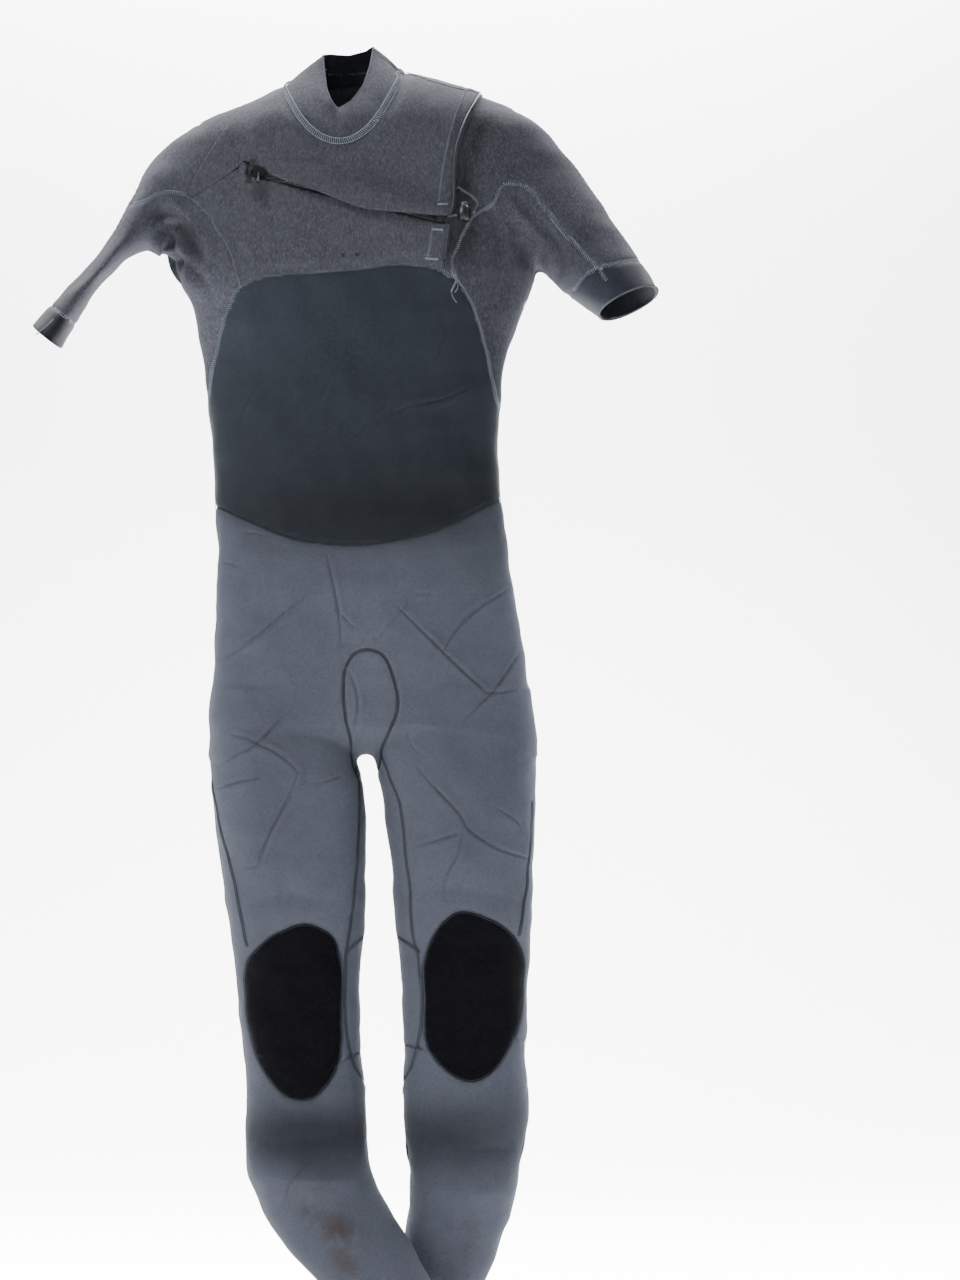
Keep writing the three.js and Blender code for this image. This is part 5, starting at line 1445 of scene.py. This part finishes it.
for up, nm in ((1, "upper"), (-1, "lower")):
    bag = Bag()
    for i in range(int((ZLEN - 5) / 3)):
        u = 2.6 + i * 3.0 + (0 if up > 0 else 1.5)
        lo_, hi_ = (-1.15, 2.5) if up > 0 else (-2.5, 1.15)
        block(bag, u - 0.62, u + 0.62, lo_, hi_, -62.4, -60.5)
        h0, h1 = (-1.3, -0.2) if up > 0 else (0.2, 1.3)
        block(bag, u - 0.85, u + 0.85, h0, h1, -62.2, -60.7, 0.3)
    block(bag, 1, ZLEN - 1, *((2.3, 3.5) if up > 0 else (-3.5, -2.3)), -61.9, -60.5, 0.35)
    bag.object("zip_chain_" + nm, M["tooth"], "tooth", "zip_teeth_" + nm, smooth=False)
    bag = Bag()
    uu_ = np.linspace(-4, ZLEN + 4, 90)
    vv_ = np.array([1.4, 1.6, 4, 7, 10, 12.8, 13.0]) * up
    U_, V_ = np.meshgrid(uu_, vv_, indexing="ij")
    for y_, off in ((-60.3, 0), (-59.6, 1)):
        G = zp(U_, V_, 0)
        G[..., 1] = y_ + 0.08 * np.sin(U_ * 0.9) * (np.abs(V_) > 3)
        i, k = np.meshgrid(np.arange(89), np.arange(6), indexing="ij")
        f = np.stack([i * 7 + k, i * 7 + k + 1, (i + 1) * 7 + k + 1, (i + 1) * 7 + k], -1).reshape(-1, 4)
        bag.add(G.reshape(-1, 3), f if (off == 0) == (up > 0) else f[:, ::-1])
    bag.object("zip_tape_cloth_" + nm, M["tape"], "tape", "zip_tape_" + nm)
# folded cloth pocket at the closed end
bag = Bag()
a_ = np.linspace(0, 2 * np.pi, 28, endpoint=False)
prev = []
for k, (g, y) in enumerate(((1.0, -62.3), (1.0, -63.2), (0.92, -63.9), (0.72, -64.25), (0.4, -64.3), (0.02, -64.15))):
    q = zp(-9.1 + 3.9 * g * sp(np.cos(a_), 0.6), 0.25 + 5.7 * g * sp(np.sin(a_), 0.7), 0)
    q[:, 1] = y + 0.25 * np.sin(a_ * 3) * g
    prev.append(q)
R = np.stack(prev)
i, k = np.meshgrid(np.arange(len(R) - 1), np.arange(28), indexing="ij")
bag.add(R.reshape(-1, 3), np.stack([i * 28 + k, i * 28 + (k + 1) % 28, (i + 1) * 28 + (k + 1) % 28, (i + 1) * 28 + k], -1).reshape(-1, 4))
bag.object("zip_pocket_cloth", M["chest"], "chest", "zip_garage")

# drain holes
bag = Bag()
for x_, y_ in ((343.4, 256.2), (357.6, 255.8)):
    P, n, hit = on_skin(np.array([x_]), np.array([y_]), lift=low_lift, up=0.12)
    c, n = P[0], n[0]
    e1 = np.cross(n, [0, 0, 1.0])
    e1 /= np.linalg.norm(e1)
    e2 = np.cross(n, e1)
    a = np.linspace(0, 2 * np.pi, 20, endpoint=False)
    rg = [c + np.outer(np.cos(a) * r, e1) + np.outer(np.sin(a) * r, e2) + n * h for r, h in ((1.9, -0.1), (1.6, 0.22), (1.25, 0.18), (1.1, -0.1), (0.02, -0.12))]
    R = np.stack(rg)
    i, k = np.meshgrid(np.arange(4), np.arange(20), indexing="ij")
    bag.add(R.reshape(-1, 3), np.stack([i * 20 + k, i * 20 + (k + 1) % 20, (i + 1) * 20 + (k + 1) % 20, (i + 1) * 20 + k], -1).reshape(-1, 4))
bag.object("drain_hole_rims", M["thread_black"], "knee")

# ---------------------------------------------------------------- cord and its lock
lockC = at(464.5, 214, -70.5)
eyeB = np.array([105.9, -64.5, lockC[2]])
run = (lockC - eyeB) / np.linalg.norm(lockC - eyeB)
hx = 7.6
r_at = lambda s, up=0.0: lockC + run * s + np.array([0, 0, up])
eyeA = at(455.5, 189, -62.2)
CORD = [eyeA, eyeA + np.array([3.5, -2.2, 0.8]), at(463.5, 191.0, -67), at(471.5, 196, -71), at(477.2, 204, -73.6), r_at(hx + 5.4, 4.6), r_at(hx + 3.0, 0.6), r_at(hx + 1.6), r_at(0), r_at(-hx - 4), r_at(-hx - 8), eyeB]


def centripetal(pts, n):
    P = np.array([2 * pts[0] - pts[1]] + list(pts) + [2 * pts[-1] - pts[-2]])
    out = []
    for i in range(1, len(P) - 2):
        p0, p1, p2, p3 = P[i - 1:i + 3]
        t0 = 0.0
        t1 = t0 + np.linalg.norm(p1 - p0) ** 0.5
        t2 = t1 + np.linalg.norm(p2 - p1) ** 0.5
        t3 = t2 + np.linalg.norm(p3 - p2) ** 0.5
        for t in np.linspace(t1, t2, n, endpoint=False):
            A1 = (t1 - t) / (t1 - t0) * p0 + (t - t0) / (t1 - t0) * p1
            A2 = (t2 - t) / (t2 - t1) * p1 + (t - t1) / (t2 - t1) * p2
            A3 = (t3 - t) / (t3 - t2) * p2 + (t - t2) / (t3 - t2) * p3
            B1 = (t2 - t) / (t2 - t0) * A1 + (t - t0) / (t2 - t0) * A2
            B2 = (t3 - t) / (t3 - t1) * A2 + (t - t1) / (t3 - t1) * A3
            out.append((t2 - t) / (t2 - t1) * B1 + (t - t1) / (t2 - t1) * B2)
    out.append(P[-2])
    return np.array(out)


path = centripetal(CORD, 8)
cu = bpy.data.curves.new("elastic_draw_cord", "CURVE")
cu.dimensions = "3D"
cu.bevel_depth = 0.0012
cu.bevel_resolution = 5
cu.use_fill_caps = True
spl = cu.splines.new("POLY")
spl.points.add(len(path) - 1)
for q, p in zip(spl.points, path):
    q.co = (*(p / 1000.0), 1.0)
cu.materials.append(M["cord"])
cord = bpy.data.objects.new("elastic_draw_cord", cu)
COL.objects.link(cord)
put(cord, "cord", "draw_cord")


def lathe(name, prof, c, mat, slot, node, body_name, seg=48, flutes=0.0):
    a = np.linspace(0, 2 * np.pi, seg, endpoint=False)
    pr = spline(prof, per=5)
    pr[:, 0] = np.maximum(pr[:, 0], 0.01)
    fl = 1 + flutes * np.cos(a * 8)
    R = np.stack([np.stack([c[0] + r * fl * np.cos(a), c[1] + r * fl * np.sin(a), np.full(seg, c[2] + z)], 1) for r, z in pr])
    bag = Bag()
    i, k = np.meshgrid(np.arange(len(R) - 1), np.arange(seg), indexing="ij")
    bag.add(R.reshape(-1, 3), np.stack([i * seg + k, i * seg + (k + 1) % seg, (i + 1) * seg + (k + 1) % seg, (i + 1) * seg + k], -1).reshape(-1, 4))
    return bag.object(name, mat, slot, node, body_name)


lathe("cord_lock_barrel", [(0.01, -8), (3.2, -8), (4.4, -7.7), (5.9, -6.4), (7.1, -3.8), (7.6, -1), (7.4, 2.4), (6.6, 5.4), (5.9, 7.2), (5.5, 7.9), (5.1, 8.0), (4.6, 7.6), (4.5, 5.5), (4.5, 2.6)], lockC, M["lock"], "lock", "cord_lock_body", "cord_lock", flutes=0.006)
lathe("cord_lock_plunger", [(0.01, -0.6), (4.0, -0.6), (4.12, 0), (4.12, 10.8), (3.9, 11.8), (3.2, 12.3), (0.01, 12.4)], lockC, M["button"], "button", "cord_lock_button", "lock_button")

# ---------------------------------------------------------------- finishes on the parts that keep their own shape
KEEP = {"zip_end_stop": "tooth", "zip_insertion_box": "tooth", "zip_slider": "slider", "pull_link": "pull", "pull_tab": "pull", "lock_spring": "spring", "cord_eyelet": "lock"}
for n_, s_ in KEEP.items():
    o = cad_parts[n_]
    if len(o.data.materials):
        for i in range(len(o.data.materials)):
            o.data.materials[i] = M[s_]
    else:
        o.data.materials.append(M[s_])

# ---------------------------------------------------------------- stage, light, camera
def plain(name, rgb, rough):
    return material(name, rgb, rough)


prof = [(-6000.0, -1500.0)] + [(500 + 1200 * math.sin(g), -300 - 1200 * math.cos(g)) for g in np.linspace(0, math.pi / 2, 48)] + [(1700.0, 3600.0)]
fl = new_mesh("floor", [(x, y, z) for y, z in prof for x in (-6000, 6000)], [(2 * i, 2 * i + 1, 2 * i + 3, 2 * i + 2) for i in range(len(prof) - 1)], plain("pale_floor", (0.84, 0.84, 0.84, 1), 0.9), True)


def area(name, loc, target, size, power, color=(1, 1, 1)):
    d = bpy.data.lights.new(name, "AREA")
    d.shape = "RECTANGLE"
    d.size, d.size_y = size
    d.energy = power
    d.color = color
    o = bpy.data.objects.new(name, d)
    COL.objects.link(o)
    o.location = loc
    o.rotation_euler = (Vector(target) - Vector(loc)).to_track_quat("-Z", "Y").to_euler()
    return o


area("key", (-2.3, -1.7, 1.7), (0, 0, -0.6), (1.2, 1.2), 120, (1.0, 0.985, 0.97))
area("fill", (2.2, -2.6, 0.1), (0, 0, -0.7), (2.0, 2.0), 16, (0.93, 0.96, 1.0))
area("low", (-0.4, -2.6, -1.0), (0, 0, -1.2), (1.6, 1.0), 10)
area("back_wash", (0.0, 0.7, 2.2), (0, 1.6, -0.6), (4.0, 1.0), 620)
area("back_wash_low", (0.0, 0.1, -1.3), (0, 1.5, -0.9), (4.0, 0.3), 230)
w = bpy.data.worlds.new("room")
bpy.context.scene.world = w
w.use_nodes = True
w.node_tree.nodes["Background"].inputs[0].default_value = (0.93, 0.96, 1.0, 1)
w.node_tree.nodes["Background"].inputs[1].default_value = 0.42

cam = bpy.data.cameras.new("camera")
cam.sensor_fit = "VERTICAL"
cam.sensor_height = 24.0
cam.lens = 12.0 / ((640 * U) / SIGHT)
cam.clip_end = 50
co = bpy.data.objects.new("camera", cam)
COL.objects.link(co)
co.location = (OFFX / 1000, -SIGHT / 1000, OFFZ / 1000)
co.rotation_euler = (math.pi / 2, 0, 0)
bpy.context.scene.camera = co

bpy.context.view_layer.update()
